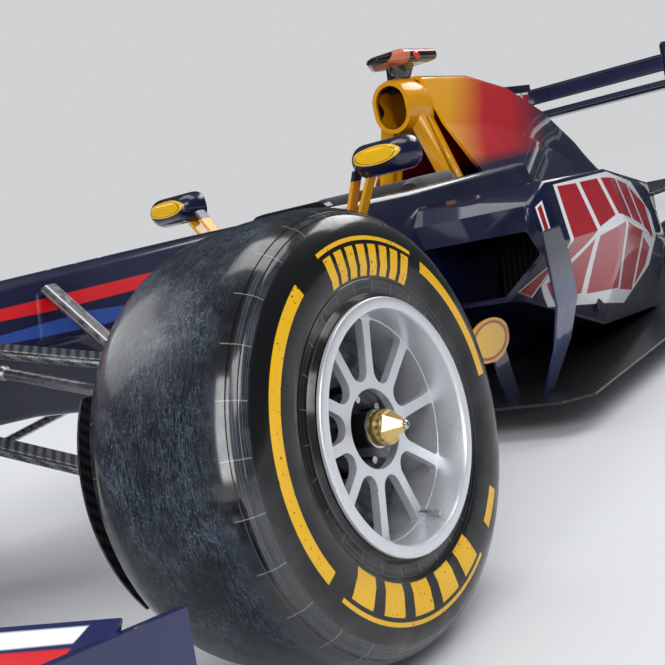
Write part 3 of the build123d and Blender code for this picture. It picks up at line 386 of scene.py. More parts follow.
shell(lacquered("yellow_to_navy_lacquer", cover_colours), "navy_body", "chassis", "engine_cover")

# Air intake. The roll hoop's fairing on its legs, moulded carbon in warm yellow lacquer, black inside
# the inlet's oval mouth.
DEEP_YELLOW, INLET_BLACK = "E79C00", "0A0A0C"
INLET_CENTRE, INLET_RADII = (0.0, 0.891), (0.0560, 0.0700)
INLET_START = (0.336, 0.350)


def oval(tree, u, v, centre, radii):
    """Distance from an oval's centre on two coordinates, 1 at its edge"""
    parts = [node(tree, "Math", "DIVIDE", node(tree, "Math", "SUBTRACT", value, middle), radius)
             for value, middle, radius in zip((u, v), centre, radii)]
    return node(tree, "VectorMath", "LENGTH", node(tree, "CombineXYZ", None, *parts, 0.0)).outputs["Value"]


def intake_colours(tree, navy, x, y, z):
    """Yellow that drifts in tone, with a black inlet"""
    tint = node(tree, "TexNoise", None, Vector=node(tree, "TexCoord").outputs["Object"], Scale=5.0)
    tone = node(tree, "MixRGB", None, tint, linear(YELLOW), linear(DEEP_YELLOW))
    mouth = within(tree, oval(tree, x, z, INLET_CENTRE, INLET_RADII), 1.0, 0.01)
    deep = node(tree, "MapRange", None, y, *INLET_START, 0.0, 1.0)
    return painted(tree, tone, (both(tree, mouth, deep), INLET_BLACK))


shell(lacquered("yellow_lacquer", intake_colours), "yellow_body", "chassis", "air_intake")

# Turning vanes. Dark blue bargeboards, curved blades of a lighter blue below, and yellow oval boards
# with a red line inside the edge, all thin carbon mouldings.
BLADE_BLUE, BRIGHT_YELLOW, BOARD_RED = "152B5E", "FBC20E", "A8231C"
BLADE_START, BLADE_FADE = (0.52, 0.53), (0.345, 0.385)
BOARD_CENTRE, BOARD_RADII = (-0.250, 0.245), (0.105, 0.052)
# how far from the middle the boards begin and end, and their ovals from the edge inwards
BOARD_START, BOARD_END = (0.46, 0.461), (0.50, 0.501)
BOARD_RINGS = [(1.05, YELLOW), (0.88, BOARD_RED), (0.76, BRIGHT_YELLOW)]


def vane_colours(tree, navy, x, y, z):
    """Lighter blades below, and an oval of rings on the boards between the tub and the blades"""
    side = node(tree, "Math", "ABSOLUTE", x)
    blade = node(tree, "MapRange", None, side, *BLADE_START, 0.0, 1.0)
    low = node(tree, "MapRange", None, z, *BLADE_FADE, 1.0, 0.0)
    tone = painted(tree, navy, (both(tree, blade, low), BLADE_BLUE))
    board = both(tree, node(tree, "MapRange", None, side, *BOARD_START, 0.0, 1.0),
                 node(tree, "MapRange", None, side, *BOARD_END, 1.0, 0.0))
    distance = oval(tree, y, z, BOARD_CENTRE, BOARD_RADII)
    for edge, code in BOARD_RINGS:
        tone = painted(tree, tone, (both(tree, within(tree, distance, edge, 0.01), board), code))
    return tone


shell(lacquered("navy_and_yellow_lacquer", vane_colours), "navy_body", "chassis", "turning_vanes")

# Mirrors. Dark blue housings with a plain yellow oval in front, on yellow blades. The glass is a thin
# silvered plate with round corners, set into the back.
HANDS = {"left": 1, "right": -1}
MIRROR_CENTRE, MIRROR_RADII = (0.352, 0.738), (0.066, 0.022)
MIRROR_RINGS = [(1.0, BRIGHT_YELLOW), (0.86, "8A6A10"), (0.80, BRIGHT_YELLOW)]
BLADE_TOP, HOUSING_FRONT = (0.690, 0.692), (-0.312, -0.310)
GLASS_PLACE = (0.350, -0.2992, 0.730)
GLASS_HALF_WIDE, GLASS_HALF_HIGH, GLASS_CORNER, GLASS_DEPTH = 0.064, 0.030, 0.024, 0.003


def mirror_colours(tree, navy, x, y, z):
    """Yellow blades, and an oval with a thin dark line on the front of the housing"""
    blades = node(tree, "MapRange", None, z, *BLADE_TOP, 1.0, 0.0)
    front = node(tree, "MapRange", None, y, *HOUSING_FRONT, 1.0, 0.0)
    distance = oval(tree, node(tree, "Math", "ABSOLUTE", x), z, MIRROR_CENTRE, MIRROR_RADII)
    tone = painted(tree, navy, (blades, YELLOW))
    for edge, code in MIRROR_RINGS:
        tone = painted(tree, tone, (both(tree, within(tree, distance, edge, 0.02), front), code))
    return tone


def mottled(name, dark, light, scale, detail=2.0, gloss=None, **values):
    """A plain finish whose colour, and gloss if given, drifts between two values"""
    material, tree, shader = surface(name, **values)
    place = node(tree, "TexCoord").outputs["Object"]
    drift = node(tree, "TexNoise", None, Vector=place, Scale=scale, Detail=detail)
    join(tree, node(tree, "MixRGB", None, drift, linear(dark), linear(light)), shader, "Base Color")
    if gloss:
        join(tree, node(tree, "MapRange", None, drift.outputs[0], 0.3, 0.7, *gloss), shader, "Roughness")
    return material


def on_side(side, place):
    """A place or a way given for the car's left side, on the left (1) or the right (-1)"""
    return Vector((side * place[0], place[1], place[2]))


def thickened(form, way):
    """Gives a flat form its depth"""
    depth = bmesh.ops.extrude_face_region(form, geom=form.faces[:])
    moved = [part for part in depth["geom"] if isinstance(part, bmesh.types.BMVert)]
    bmesh.ops.translate(form, vec=way, verts=moved)
    bmesh.ops.recalc_face_normals(form, faces=form.faces)


shell(lacquered("mirror_lacquer", mirror_colours), "navy_body", "chassis", "mirrors")
# silver behind glass mirrors nearly sharply
glass = mottled("silvered_glass", "C9CED4", "DDE1E6", 40.0, 4.0, Metallic=1.0, Roughness=0.04)
for hand, side in HANDS.items():
    form = bmesh.new()
    middle = on_side(side, GLASS_PLACE)
    corners = [(1, 1), (-1, 1), (-1, -1), (1, -1)]
    form.faces.new([form.verts.new(middle + Vector((across * GLASS_HALF_WIDE, 0, high * GLASS_HALF_HIGH)))
                    for across, high in corners])
    bmesh.ops.bevel(form, geom=form.verts[:], offset=GLASS_CORNER, affect="VERTICES", segments=8,
                    profile=0.5, material=-1)
    thickened(form, (0, -GLASS_DEPTH, 0))
    fitted(form, f"mirror_glass_{hand}", glass, "chassis")

# Roof camera. A gloss black plastic pod with a salmon block and a red stripe behind it, and a red
# glass lens on each side of its nose.
POD_BLACK, SALMON = "0B0B0D", "DC7B5C"
SALMON_BLOCK = [(0.300, 1.012), (0.360, 1.075), (0.425, 1.075), (0.385, 1.012)]
RED_STRIPE = [(0.430, 1.055), (0.470, 1.080), (0.600, 1.080), (0.600, 1.046), (0.480, 1.046)]
LENS_PLACE, LENS_RADIUS, LENS_STRETCH = (0.066, 0.440, 1.034), 0.013, (0.5, 1.4, 1.0)


def camera_colours(tree, navy, x, y, z):
    """Two blocks of colour on black"""
    tone = marked(tree, linear(POD_BLACK), y, z, SALMON_BLOCK, SALMON)
    return marked(tree, tone, y, z, RED_STRIPE, RED)


shell(lacquered("black_lacquer_with_blocks", camera_colours), "black_plastic", "chassis", "roof_camera")
# red glass, smooth enough for a sharp glint
red_lens = mottled("red_lens", "E2261C", "F03A28", 90.0, Roughness=0.15, Coat_Weight=0.5)
for hand, side in HANDS.items():
    form = bmesh.new()
    bmesh.ops.create_uvsphere(form, u_segments=32, v_segments=16, radius=LENS_RADIUS)
    place = Matrix.Translation(on_side(side, LENS_PLACE))
    bmesh.ops.transform(form, matrix=place @ Matrix.Diagonal((*LENS_STRETCH, 1)), verts=form.verts)
    fitted(form, f"camera_lens_{hand}", red_lens, "chassis")

# Rear wing endplates. Flat carbon plates in the dark blue paint, with two white edged red shards on
# each side.
PLATE_RED, PLATE_SHARD_EDGE = "B9202E", 0.010
PLATE_SHARDS = [[(1.90, 0.72), (1.99, 0.93), (2.09, 0.93), (2.02, 0.72)],
                [(2.05, 0.72), (2.12, 0.93), (2.20, 0.93), (2.16, 0.72)]]


def plate_marks(tree, navy, x, y, z):
    """Two shards side by side"""
    tone = navy
    for corners in PLATE_SHARDS:
        tone = marked(tree, tone, y, z, corners, PLATE_RED, edge=PLATE_SHARD_EDGE)
    return tone


shell(lacquered("navy_lacquer_with_plate_shard", plate_marks), "navy_body", "chassis", "rear_wing_endplates")

# Carbon parts. Two over two twill under satin lacquer: a painted sheen on the tows of one direction.
# Real tows are 2 mm wide; they are drawn 5 mm wide, so that the weave shows.
TOW = 0.005
# a face is laid over from its end or its top where its normal points that way by more than this share
FACE_LEAN = 0.7


def dress(material, *names):
    """Gives CAD nodes a material"""
    for name in names:
        mesh = frame["nodes"][name].data
        mesh.materials.clear()
        mesh.materials.append(material)


def twill(tree, u, v):
    """1 where the upper tow runs one way, 0 where it runs the other"""
    cells = [node(tree, "Math", "FLOOR", node(tree, "Math", "DIVIDE", value, TOW)) for value in (u, v)]
    turn = node(tree, "Math", "FLOORED_MODULO", node(tree, "Math", "ADD", *cells), 4.0)
    return node(tree, "Math", "LESS_THAN", turn, 1.5)


def woven(name, light, dark, rough=0.34):
    """Twill carbon, laid over the sides or over the top by which way a face looks"""
    material, tree, shader = surface(name, Coat_Weight=0.6, Coat_Roughness=0.12)
    place, x, y, z = split(tree)
    facing = node(tree, "SeparateXYZ", None, node(tree, "TexCoord").outputs["Normal"]).outputs
    ends, flat = [node(tree, "Math", "GREATER_THAN", node(tree, "Math", "ABSOLUTE", way), FACE_LEAN)
                  for way in (facing[1], facing[2])]
    across = node(tree, "MixRGB", None, ends, y, x)
    weave_and_sheen = node(tree, "MixRGB", None, flat, twill(tree, across, z), twill(tree, x, y))
    # painted sheen: the tows of one direction take the lighter colour, as if they caught the light
    join(tree, node(tree, "MixRGB", None, weave_and_sheen, linear(dark), linear(light)), shader, "Base Color")
    join(tree, node(tree, "MapRange", None, weave_and_sheen, 0.0, 1.0, rough + 0.12, rough), shader, "Roughness")
    bump = node(tree, "Bump", None, Strength=0.25, Distance=0.0004, Height=weave_and_sheen.outputs[0])
    join(tree, bump, shader, "Normal")
    return material


dark_weave = woven("carbon_twill", "26282C", "0B0C0E")
arm_weave = woven("arm_twill", "55585E", "16181B", 0.28)
dress(arm_weave, "front_wishbones", "rear_wishbones", "rear_pullrods")
dress(dark_weave, "floor", "diffuser", "gearbox", "seat", "beam_wing", "steering_wheel",
      "front_brake_duct_left", "front_brake_duct_right", "rear_brake_duct_left", "rear_brake_duct_right")

# Metal running gear. Machined titanium and cast aluminium: a grey that fine tool marks make duller
# and brighter from place to place.
titanium = mottled("machined_titanium", "9C9DA0", "C2C3C6", 90.0, 5.0, (0.25, 0.42), Metallic=1.0,
                   Roughness=0.32)
dress(titanium, "front_upright_left", "front_upright_right", "rear_uprights", "front_pushrods",
      "track_rods", "steering_column", "steering_rack", "engine_block")

# Exhausts. Thin bent steel pipes, tinted by heat from blue at the engine to straw at the tail, under
# brown clouds of soot.
HEATED_LENGTH = (1.22, 1.78)
hot_steel, tree, shader = surface("heat_tinted_steel", Metallic=1.0, Roughness=0.35)
place, x, y, z = split(tree)
heat = node(tree, "MapRange", None, y, *HEATED_LENGTH, 0.0, 1.0)
cloud = node(tree, "TexNoise", None, Vector=place, Scale=9.0, Detail=4.0)
tint = node(tree, "MixRGB", None, heat, linear("4C5A86"), linear("B08A55"))
join(tree, node(tree, "MixRGB", None, cloud, tint, linear("8C7A66")), shader, "Base Color")
dress(hot_steel, "exhaust_pipes")

# Plank. A laminated wood board under the floor, scraped along the car, so its grain is drawn out in
# that direction.
board, tree, shader = surface("laminated_wood", Roughness=0.7)
place = node(tree, "TexCoord").outputs["Object"]
stretched = node(tree, "Mapping", None, Vector=place, Scale=(90.0, 3.0, 300.0))
grain = node(tree, "TexNoise", None, Vector=stretched, Scale=1.0, Detail=6.0)
join(tree, node(tree, "MixRGB", None, grain, linear("6B4E33"), linear("A68257")), shader, "Base Color")
dress(board, "plank")

# Tyres. A worn slick: a crowned tread scuffed grey blue, a groove at the shoulder, fine mould lines,
# and yellow marks on the outer wall. It is turned from its outline about the cambered axle.
# place along the car, half track, camber in degrees, height of the wheel's centre
AXLES = {"front": (-1.280, 0.720, 3.46, 0.32959), "rear": (1.870, 0.705, 1.5, 0.32830)}
TREAD_HALF = {"front": 0.116, "rear": 0.156}
RIM_HALF = {"front": 0.1524, "rear": 0.174}
WHEEL_STEPS = 240
# yellow marks: from angle, to angle, inner radius, outer radius
TYRE_MARKS = [(120, 209, 0.246, 0.265), (0.5, 50, 0.246, 0.265), (306, 320, 0.246, 0.265),
              (56, 106, 0.262, 0.268), (216, 296, 0.262, 0.268)]
# rows of plain yellow blocks: from angle, block, step, count
TYRE_BLOCKS = [(57, 4.2, 6.2, 8), (219, 10.5, 16.0, 5)]
BLOCK_RADII = (0.212, 0.256)
MOULD_LINES = [0.3066, 0.3046, 0.2978, 0.2948, 0.2925, 0.2110, 0.2040, 0.1960, 0.1872]
MOULD_LINE_HALF = 0.0004
# radii of the ring in the shoulder's groove, painted near black as painted shade
GROOVE_SHADE = (0.3084, 0.3110)
SHOULDER_RING = (0.2905, 0.3225)
# pale ticks left by the mould's vents: every so many degrees, width, and their two rings
TICK_STEP, TICK_WIDTH, TICK_RINGS = 13.0, 0.28, ((0.190, 0.203), (0.292, 0.316))
OUTER_WALL = 0.06


def wheel_place(end, hand):
    """Turns x outwards along the cambered axle, at the wheel's centre"""
    along, track, camber, height = AXLES[end]
    side = HANDS[hand]
    lean = Matrix.Rotation(radians(-side * camber), 4, "Y")
    return Matrix.Translation((side * track, along, height)) @ lean @ Matrix.Diagonal((side, 1, 1, 1))


def turned(outline, steps, soften=0.0):
    """Spins a closed outline of (radius, offset) about the axle, with its corners rounded"""
    form = bmesh.new()
    ring = [form.verts.new((offset, 0, radius)) for radius, offset in outline]
    for one, two in zip(ring, ring[1:] + ring[:1]):
        form.edges.new((one, two))
    if soften:
        bmesh.ops.bevel(form, geom=ring, offset=soften, affect="VERTICES", segments=2, profile=0.5,
                        material=-1)
    bmesh.ops.spin(form, geom=form.verts[:] + form.edges[:], axis=(1, 0, 0), cent=(0, 0, 0), angle=2 * pi,
                   steps=steps, use_merge=True)
    bmesh.ops.remove_doubles(form, verts=form.verts, dist=MERGE / 10)
    bmesh.ops.recalc_face_normals(form, faces=form.faces)
    return form


def mounted(form, label, end, hand, material, body=None):
    """Moves a form made about the axle to its wheel; a right hand one is a mirror image"""
    bmesh.ops.transform(form, matrix=wheel_place(end, hand), verts=form.verts)
    if HANDS[hand] < 0:
        bmesh.ops.reverse_faces(form, faces=form.faces)
    return fitted(form, f"{end}_{label}_{hand}", material, body or f"{end}_wheel_{hand}")


def wheel_frame(tree, end, hand):
    """Place, radius, angle in degrees with 90 at the top, and offset outwards, all about the axle"""
    along, track, camber, height = AXLES[end]
    side = HANDS[hand]
    place = node(tree, "TexCoord").outputs["Object"]
    local = node(tree, "Mapping", {"vector_type": "TEXTURE"}, Vector=place,
                 Location=(side * track, along, height), Rotation=(0, radians(-side * camber), 0),
                 Scale=(side, 1, 1))
    offset, y, z = node(tree, "SeparateXYZ", None, local).outputs
    flat = node(tree, "CombineXYZ", None, 0.0, y, z)
    radius = node(tree, "VectorMath", "LENGTH", flat).outputs["Value"]
    degrees = node(tree, "Math", "MULTIPLY", node(tree, "Math", "ARCTAN2", z, y), 180 / pi)
    return local, radius, node(tree, "Math", "FLOORED_MODULO", degrees, 360.0), offset


def span(tree, value, low, high, soft):
    """1 between two values, with soft edges"""
    rise = node(tree, "MapRange", None, value, low - soft, low + soft, 0.0, 1.0)
    fall = node(tree, "MapRange", None, value, high - soft, high + soft, 1.0, 0.0)
    return both(tree, rise, fall)


def any_of(tree, masks):
    """The highest of masks"""
    most = masks[0]
    for mask in masks[1:]:
        most = node(tree, "Math", "MAXIMUM", mask, most)
    return most


def yellow_marks(tree, radius, degrees):
    """Bars along the wall and rows of blocks"""
    masks = [both(tree, span(tree, degrees, start, stop, 0.12), span(tree, radius, low, high, 0.0004))
             for start, stop, low, high in TYRE_MARKS]
    for start, block, step, count in TYRE_BLOCKS:
        row = span(tree, degrees, start, start + step * count - (step - block), 0.1)
        turn = node(tree, "Math", "FLOORED_MODULO", node(tree, "Math", "SUBTRACT", degrees, start), step)
        filled = node(tree, "Math", "LESS_THAN", turn, block)
        masks.append(both(tree, row, filled, span(tree, radius, *BLOCK_RADII, 0.0005)))
    return any_of(tree, masks)


def rubbed_tread(tree, radius, degrees, offset):
    """Noise that is long in angle and short in width, at a slant: rubbed along the way it rolls"""
    slant = node(tree, "Math", "MULTIPLY_ADD", degrees, 0.40, node(tree, "Math", "MULTIPLY", offset, 45.0))
    across = node(tree, "Math", "MULTIPLY", offset, 380.0)
    stretched = node(tree, "CombineXYZ", None, across, slant, radius)
    return node(tree, "TexNoise", None, Vector=stretched, Scale=1.0, Detail=10.0, Roughness=0.80)


def speckle(tree, place, scale, detail, low, high):
    """Specks where fine noise passes from one value to another"""
    noise = node(tree, "TexNoise", None, Vector=place, Scale=scale, Detail=detail)
    return node(tree, "MapRange", None, noise.outputs[0], low, high, 0.0, 1.0)


def slick_rubber(end, hand):
    """Worn slick rubber: a dull wall, a satin tread, and a shoulder polished by the road"""
    material, tree, shader = surface(f"slick_rubber_{end}_{hand}", Specular_IOR_Level=0.2,
                                     Coat_Roughness=0.13, Coat_IOR=1.8)
    place, radius, degrees, offset = wheel_frame(tree, end, hand)
    tread_half = TREAD_HALF[end]
    width = node(tree, "Math", "ABSOLUTE", offset)
    tread = node(tree, "MapRange", None, width, tread_half - 0.03, tread_half + 0.002, 1.0, 0.0)
    rub = rubbed_tread(tree, radius, degrees, offset)
    blotch = node(tree, "TexNoise", None, Vector=place, Scale=13.0, Detail=7.0, Roughness=0.65)
    patches = node(tree, "MapRange", None, blotch.outputs[0], 0.40, 0.62, 0.25, 1.0)
    worn = both(tree, tread, patches, node(tree, "MapRange", None, rub.outputs[0], 0.44, 0.66, 0.0, 1.0))
    grit = both(tree, speckle(tree, place, 330.0, 3.0, 0.60, 0.68), tread, patches, 0.5)
    scuffs = both(tree, span(tree, radius, *SHOULDER_RING, 0.001),
                  node(tree, "MapRange", None, blotch.outputs[0], 0.45, 0.62, 0.0, 0.55))
    outside = node(tree, "Math", "GREATER_THAN", offset, OUTER_WALL)
    chips = speckle(tree, place, 210.0, 4.0, 0.30, 0.36)
    yellow = both(tree, yellow_marks(tree, radius, degrees), outside, chips)
    faded = node(tree, "MixRGB", None, blotch, linear("F8C81C"), linear("E8A800"))
    lines = any_of(tree, [span(tree, radius, line - MOULD_LINE_HALF, line + MOULD_LINE_HALF, 0.0004)
                          for line in MOULD_LINES])
    pale_lines = both(tree, lines, 0.35, node(tree, "MapRange", None, blotch.outputs[0], 0.4, 0.6, 0.3, 1.0))
    turn = node(tree, "Math", "FLOORED_MODULO", degrees, TICK_STEP)
    rings = any_of(tree, [span(tree, radius, low, high, 0.0005) for low, high in TICK_RINGS])
    ticks = both(tree, node(tree, "Math", "LESS_THAN", turn, TICK_WIDTH), rings, 0.45)
    # painted shade: the groove's ring is painted near black
    tone = painted(tree, linear("050506"), (tread, "0C1016"), (worn, "5E6C7C"), (grit, "8492A0"),
                   (scuffs, "3B4550"), (yellow, faded), (span(tree, radius, *GROOVE_SHADE, 0.0003), "020202"),
                   (pale_lines, "7C828A"), (ticks, "A9A79E"))
    join(tree, tone, shader, "Base Color")
    edge = span(tree, width, tread_half - 0.022, tread_half + 0.035, 0.012)
    polish = both(tree, edge, node(tree, "MapRange", None, blotch.outputs[0], 0.42, 0.60, 1.0, 0.6))
    polish = node(tree, "Math", "MAXIMUM", polish, node(tree, "Math", "MULTIPLY", tread, 0.15))
    join(tree, polish, shader, "Coat Weight")
    gloss = node(tree, "MapRange", None, tread, 0.0, 1.0, 0.46, 0.30)
    join(tree, node(tree, "Math", "MULTIPLY_ADD", rub.outputs[0], 0.16, gloss), shader, "Roughness")
    skin = node(tree, "TexNoise", None, Vector=place, Scale=420.0, Detail=3.0)
    lift = node(tree, "Math", "MULTIPLY_ADD", both(tree, rub.outputs[0], tread), 1.5, skin.outputs[0])
    lift = node(tree, "Math", "MULTIPLY_ADD", lines, 5.0, lift)
    join(tree, node(tree, "Bump", None, Strength=0.25, Distance=0.0008, Height=lift), shader, "Normal")
    return material


def tyre_outline(end):
    """Half of the outline, tread centre to bead, then its mirror image and the inner wall"""
    tread, rim = TREAD_HALF[end], RIM_HALF[end]
    crown = [(0.328, 0.0), (0.3274, tread * 0.30), (0.3258, tread * 0.55), (0.3232, tread * 0.74),
             (0.3197, tread * 0.88), (0.3155, tread * 0.98)]
    groove = [(0.3114, tread + 0.0065), (0.3098, tread + 0.0068), (0.3082, tread + 0.0110)]
    wall = [(0.3030, tread + 0.0185), (0.3012, tread + 0.0190), (0.2995, tread + 0.0212),
            (0.2900, rim - 0.010), (0.2870, rim - 0.0085), (0.2700, rim - 0.0025), (0.2500, rim),
            (0.2250, rim - 0.0010)]
    bead = [(0.2080, rim - 0.0060), (0.2068, rim - 0.0052), (0.1980, rim - 0.0080), (0.1880, rim - 0.0085),
            (0.1815, rim - 0.0010), (0.1655, rim - 0.0010), (0.1655, rim - 0.020)]
    inner = [(0.200, rim - 0.019), (0.290, rim - 0.022), (0.310, tread - 0.01)]
    half = crown + groove + wall + bead + inner
    return half + [(radius, -offset) for radius, offset in half[:0:-1]]


for end in AXLES:
    for hand in HANDS:
        tyre = mounted(turned(tyre_outline(end), WHEEL_STEPS), "slick_tyre", end, hand,
                       slick_rubber(end, hand))
        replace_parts(tyre, f"{end}_tyre_{hand}")

# Rims. Forged magnesium in satin silver: a flat lip, a deep barrel and ten spokes between windows
# with round ends. One window's sector is cut and repeated round the axle, then given its depth.
LIP = 0.180
BARREL = 0.1589
RING_BORE, RING_EDGE = 0.057, 0.067
SPOKES = 10
SPOKE_FACE, SPOKE_BACK = 0.112, 0.099
SPOKE_WAIST = 0.115
SPOKE_HALF_NEAR, SPOKE_HALF_WAIST, SPOKE_HALF_FAR = 0.0078, 0.0064, 0.0085
WINDOW_CORNER = 0.007


def arc(form, radius, start, stop, count, offset):
    """Points on an arc about the axle"""
    return [form.verts.new((offset, radius * sin(a), radius * cos(a)))
            for a in (start + (stop - start) * k / (count - 1) for k in range(count))]


def looped(form, points):
    """Edges round a closed row of points"""
    return [form.edges.new((one, two)) for one, two in zip(points, points[1:] + points[:1])]


def spoke_wheel(end):
    """Hub ring and spokes as one plate with ten windows, thickened along the axle"""
    face = SPOKE_FACE + RIM_HALF[end] - RIM_HALF["front"]
    form = bmesh.new()
    sector = pi / SPOKES
    near, far = RING_EDGE + 0.002, BARREL - 0.0012
    half_near = near * sin(sector) - SPOKE_HALF_NEAR
    half_far = far * sin(sector) - SPOKE_HALF_FAR
    half_waist = SPOKE_WAIST * sin(sector) - SPOKE_HALF_WAIST
    window = [form.verts.new((face, across, radius)) for radius, across in
              ((near, -half_near), (near, half_near), (SPOKE_WAIST, half_waist))]
    reach = sector * half_far / (far * sin(sector))
    window += arc(form, far, reach, -reach, 7, face)
    window.append(form.verts.new((face, -half_waist, SPOKE_WAIST)))
    looped(form, window)
    bmesh.ops.bevel(form, geom=window[:2], offset=half_near * 0.98, affect="VERTICES", segments=6,
                    profile=0.5, material=-1)
    form.verts.ensure_lookup_table()
    outer = [v for v in form.verts if v.co.z > 0.14 and abs(abs(v.co.y) - half_far) < 0.002]
    bmesh.ops.bevel(form, geom=outer, offset=WINDOW_CORNER, affect="VERTICES", segments=4, profile=0.5,
                    material=-1)
    inner_edges = form.edges[:]
    border = arc(form, RING_BORE, -sector, sector, 7, face)
    border += arc(form, BARREL + 0.001, sector, -sector, 9, face)
    bmesh.ops.triangle_fill(form, use_beauty=True, edges=inner_edges + looped(form, border))
    bmesh.ops.spin(form, geom=form.verts[:] + form.edges[:] + form.faces[:], axis=(1, 0, 0), cent=(0, 0, 0),
                   angle=2 * pi, steps=SPOKES, use_duplicate=True)
    bmesh.ops.remove_doubles(form, verts=form.verts, dist=MERGE)
    thickened(form, (SPOKE_BACK - SPOKE_FACE, 0, 0))
    return form


def rim_barrel(end):
    """Barrel, bead seats and lips, turned from their outline"""
    half = RIM_HALF[end]
    flange = half + 0.0076
    face = SPOKE_FACE + half - RIM_HALF["front"]
    outline = [(LIP, flange - 0.0015), (LIP, half), (0.1649, half - 0.0002), (0.1649, -half + 0.0002),
               (LIP, -half), (LIP, -flange), (0.174, -flange), (BARREL, -half + 0.012),
               (BARREL, face - SPOKE_FACE + SPOKE_BACK - 0.004), (BARREL, face + 0.004),
               (0.1620, flange - 0.006), (0.1635, flange), (LIP - 0.002, flange)]
    return turned(outline, WHEEL_STEPS, 0.0010)


# satin paint over a forging: pale, with a soft sheen and a grain too fine to make out
silver = mottled("satin_silver_magnesium", "DADDE2", "E4E6EA", 25.0, 2.0, (0.27, 0.33), Metallic=0.55,
                 Roughness=0.3)
grained(silver, 700.0, 2.0, 0.02, 0.0003)
for end in AXLES:
    for hand in HANDS:
        barrel = mounted(rim_barrel(end), "rim_barrel", end, hand, silver)
        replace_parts(barrel, f"{end}_rim_{hand}")
        mounted(spoke_wheel(end), "rim_spokes", end, hand, silver)

# Hubs. A gold anodised nut with a silver washer and a steel guide at its tip, on a blackened sleeve with
# a carbon brake disc behind, inside a black carbon drum. All are turned; the nut's cone has six flats.
# outlines as (radius, offset) on the front wheels; a rear wheel's outer side lies further out
NUT = [(0.0, 0.117), (0.0248, 0.117), (0.0255, 0.118), (0.0255, 0.135), (0.0240, 0.138), (0.0, 0.138)]
TIP = [(0.0, 0.1615), (0.0066, 0.1615), (0.0066, 0.1645), (0.0042, 0.167), (0.0030, 0.167),
       (0.0030, 0.163), (0.0, 0.163)]
WASHER = [(0.0200, 0.112), (0.0282, 0.112), (0.0282, 0.1168), (0.0200, 0.1168)]
SLEEVE = [(0.0, 0.0683), (0.0258, 0.0683), (0.0258, 0.112), (0.0, 0.112)]
DISC = [(0.030, -0.036), (0.030, 0.066), (0.0565, 0.066), (0.0565, -0.030), (0.070, -0.036),
        (0.130, -0.036), (0.130, -0.062), (0.060, -0.062), (0.060, -0.100), (0.022, -0.100),
        (0.022, -0.050)]
DRUM = [(0.0665, 0.0565), (0.110, 0.0600), (0.140, 0.0540), (0.1478, 0.040), (0.1478, -0.021),
        (0.1462, -0.021), (0.1462, 0.038), (0.139, 0.0515), (0.110, 0.0580), (0.0665, 0.0550)]
CONE_MIDDLE, CONE_BASE, CONE_TOP, CONE_LENGTH = 0.1495, 0.0246, 0.0072, 0.025
DRIVE_PEGS, PEG_CIRCLE, PEG_MIDDLE, PEG_LENGTH = 6, 0.045, 0.078, 0.036
VALVE_ANGLE, VALVE_LEAN = radians(198), radians(78)
VALVE_MIDDLE, VALVE_CIRCLE = 0.128, 0.151

# fine turning marks make the bare metals shimmer; the disc is dull, and the sleeve dark and satin
gold = mottled("gold_anodised_aluminium", "D8B266", "EBCF92", 140.0, 3.0, Metallic=1.0, Roughness=0.22)
steel = mottled("machined_steel", "B9BABD", "D5D6D8", 160.0, 3.0, Metallic=1.0, Roughness=0.24)
black_oxide = mottled("black_oxide_steel", "1C1C1F", "2C2C30", 120.0, 3.0, Metallic=0.8, Roughness=0.35)
disc_carbon = mottled("carbon_friction_disc", "17181A", "2E2F32", 80.0, 6.0, Roughness=0.55)
# piece, outline, steps, rounding, material
TURNED_PIECES = [
    ("guide_tip", TIP, 32, 0.0, steel), ("nut_washer", WASHER, 64, 0.0008, steel),
    ("nut_sleeve", SLEEVE, 48, 0.0008, black_oxide), ("brake_disc", DISC, 96, 0.001, disc_carbon),
]


def stud(form, sides, base, top, depth, matrix):
    """Adds a capped cone or rod to a form"""
    bmesh.ops.create_cone(form, cap_ends=True, segments=sides, radius1=base, radius2=top, depth=depth,
                          matrix=matrix)


def widened(outline, extra):
    """Moves an outline's outer side outwards"""
    return [(radius, offset + extra if offset > 0 else offset) for radius, offset in outline]


def drive_pegs(extra):
    """Pegs on the drive flange that turn the rim"""
    pegs = bmesh.new()
    for k in range(DRIVE_PEGS):
        turn = Matrix.Rotation(2 * pi * k / DRIVE_PEGS, 4, "X")
        place = turn @ Matrix.Translation((PEG_MIDDLE + extra, 0, PEG_CIRCLE))
        stud(pegs, 20, 0.0065, 0.0055, PEG_LENGTH, place @ Matrix.Rotation(pi / 2, 4, "Y"))
    return pegs


def tyre_valve(extra):
    """A thin stem with a cap, leaning out of the rim's barrel"""
    valve = bmesh.new()
    place = Matrix.Translation((VALVE_MIDDLE + extra, 0, VALVE_CIRCLE))
    lean = Matrix.Rotation(VALVE_ANGLE, 4, "X") @ place @ Matrix.Rotation(VALVE_LEAN, 4, "Y")
    stud(valve, 20, 0.0032, 0.0032, 0.030, lean)
    stud(valve, 20, 0.0046, 0.0042, 0.009, lean @ Matrix.Translation((0, 0, 0.014)))
    return valve


for end in AXLES:
    extra = RIM_HALF[end] - RIM_HALF["front"]
    for hand in HANDS:
        nut = turned(widened(NUT, extra), 48)
        stud(nut, 6, CONE_BASE, CONE_TOP, CONE_LENGTH,
             Matrix.Translation((CONE_MIDDLE + extra, 0, 0)) @ Matrix.Rotation(pi / 2, 4, "Y"))
        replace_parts(mounted(nut, "centre_nut", end, hand, gold), f"{end}_hub_{hand}")
        for label, outline, steps, soften, material in TURNED_PIECES:
            form = turned(widened(outline, extra), steps, soften)
            mounted(form, label, end, hand, material)
        mounted(turned(widened(DRUM, extra), 96), "brake_drum", end, hand, dark_weave,
                f"front_knuckle_{hand}" if end == "front" else "chassis")
        mounted(drive_pegs(extra), "drive_pegs", end, hand, steel)
        mounted(tyre_valve(extra), "valve", end, hand, steel)

# Headrest. A horseshoe of foam under black cover cloth: a crowned section swept round the cockpit's
# back, with a sewn line along its inner and outer edge.
HEAD_HALF, HEAD_DEEP, HEAD_LEVEL = 0.0370, 0.0600, 0.605
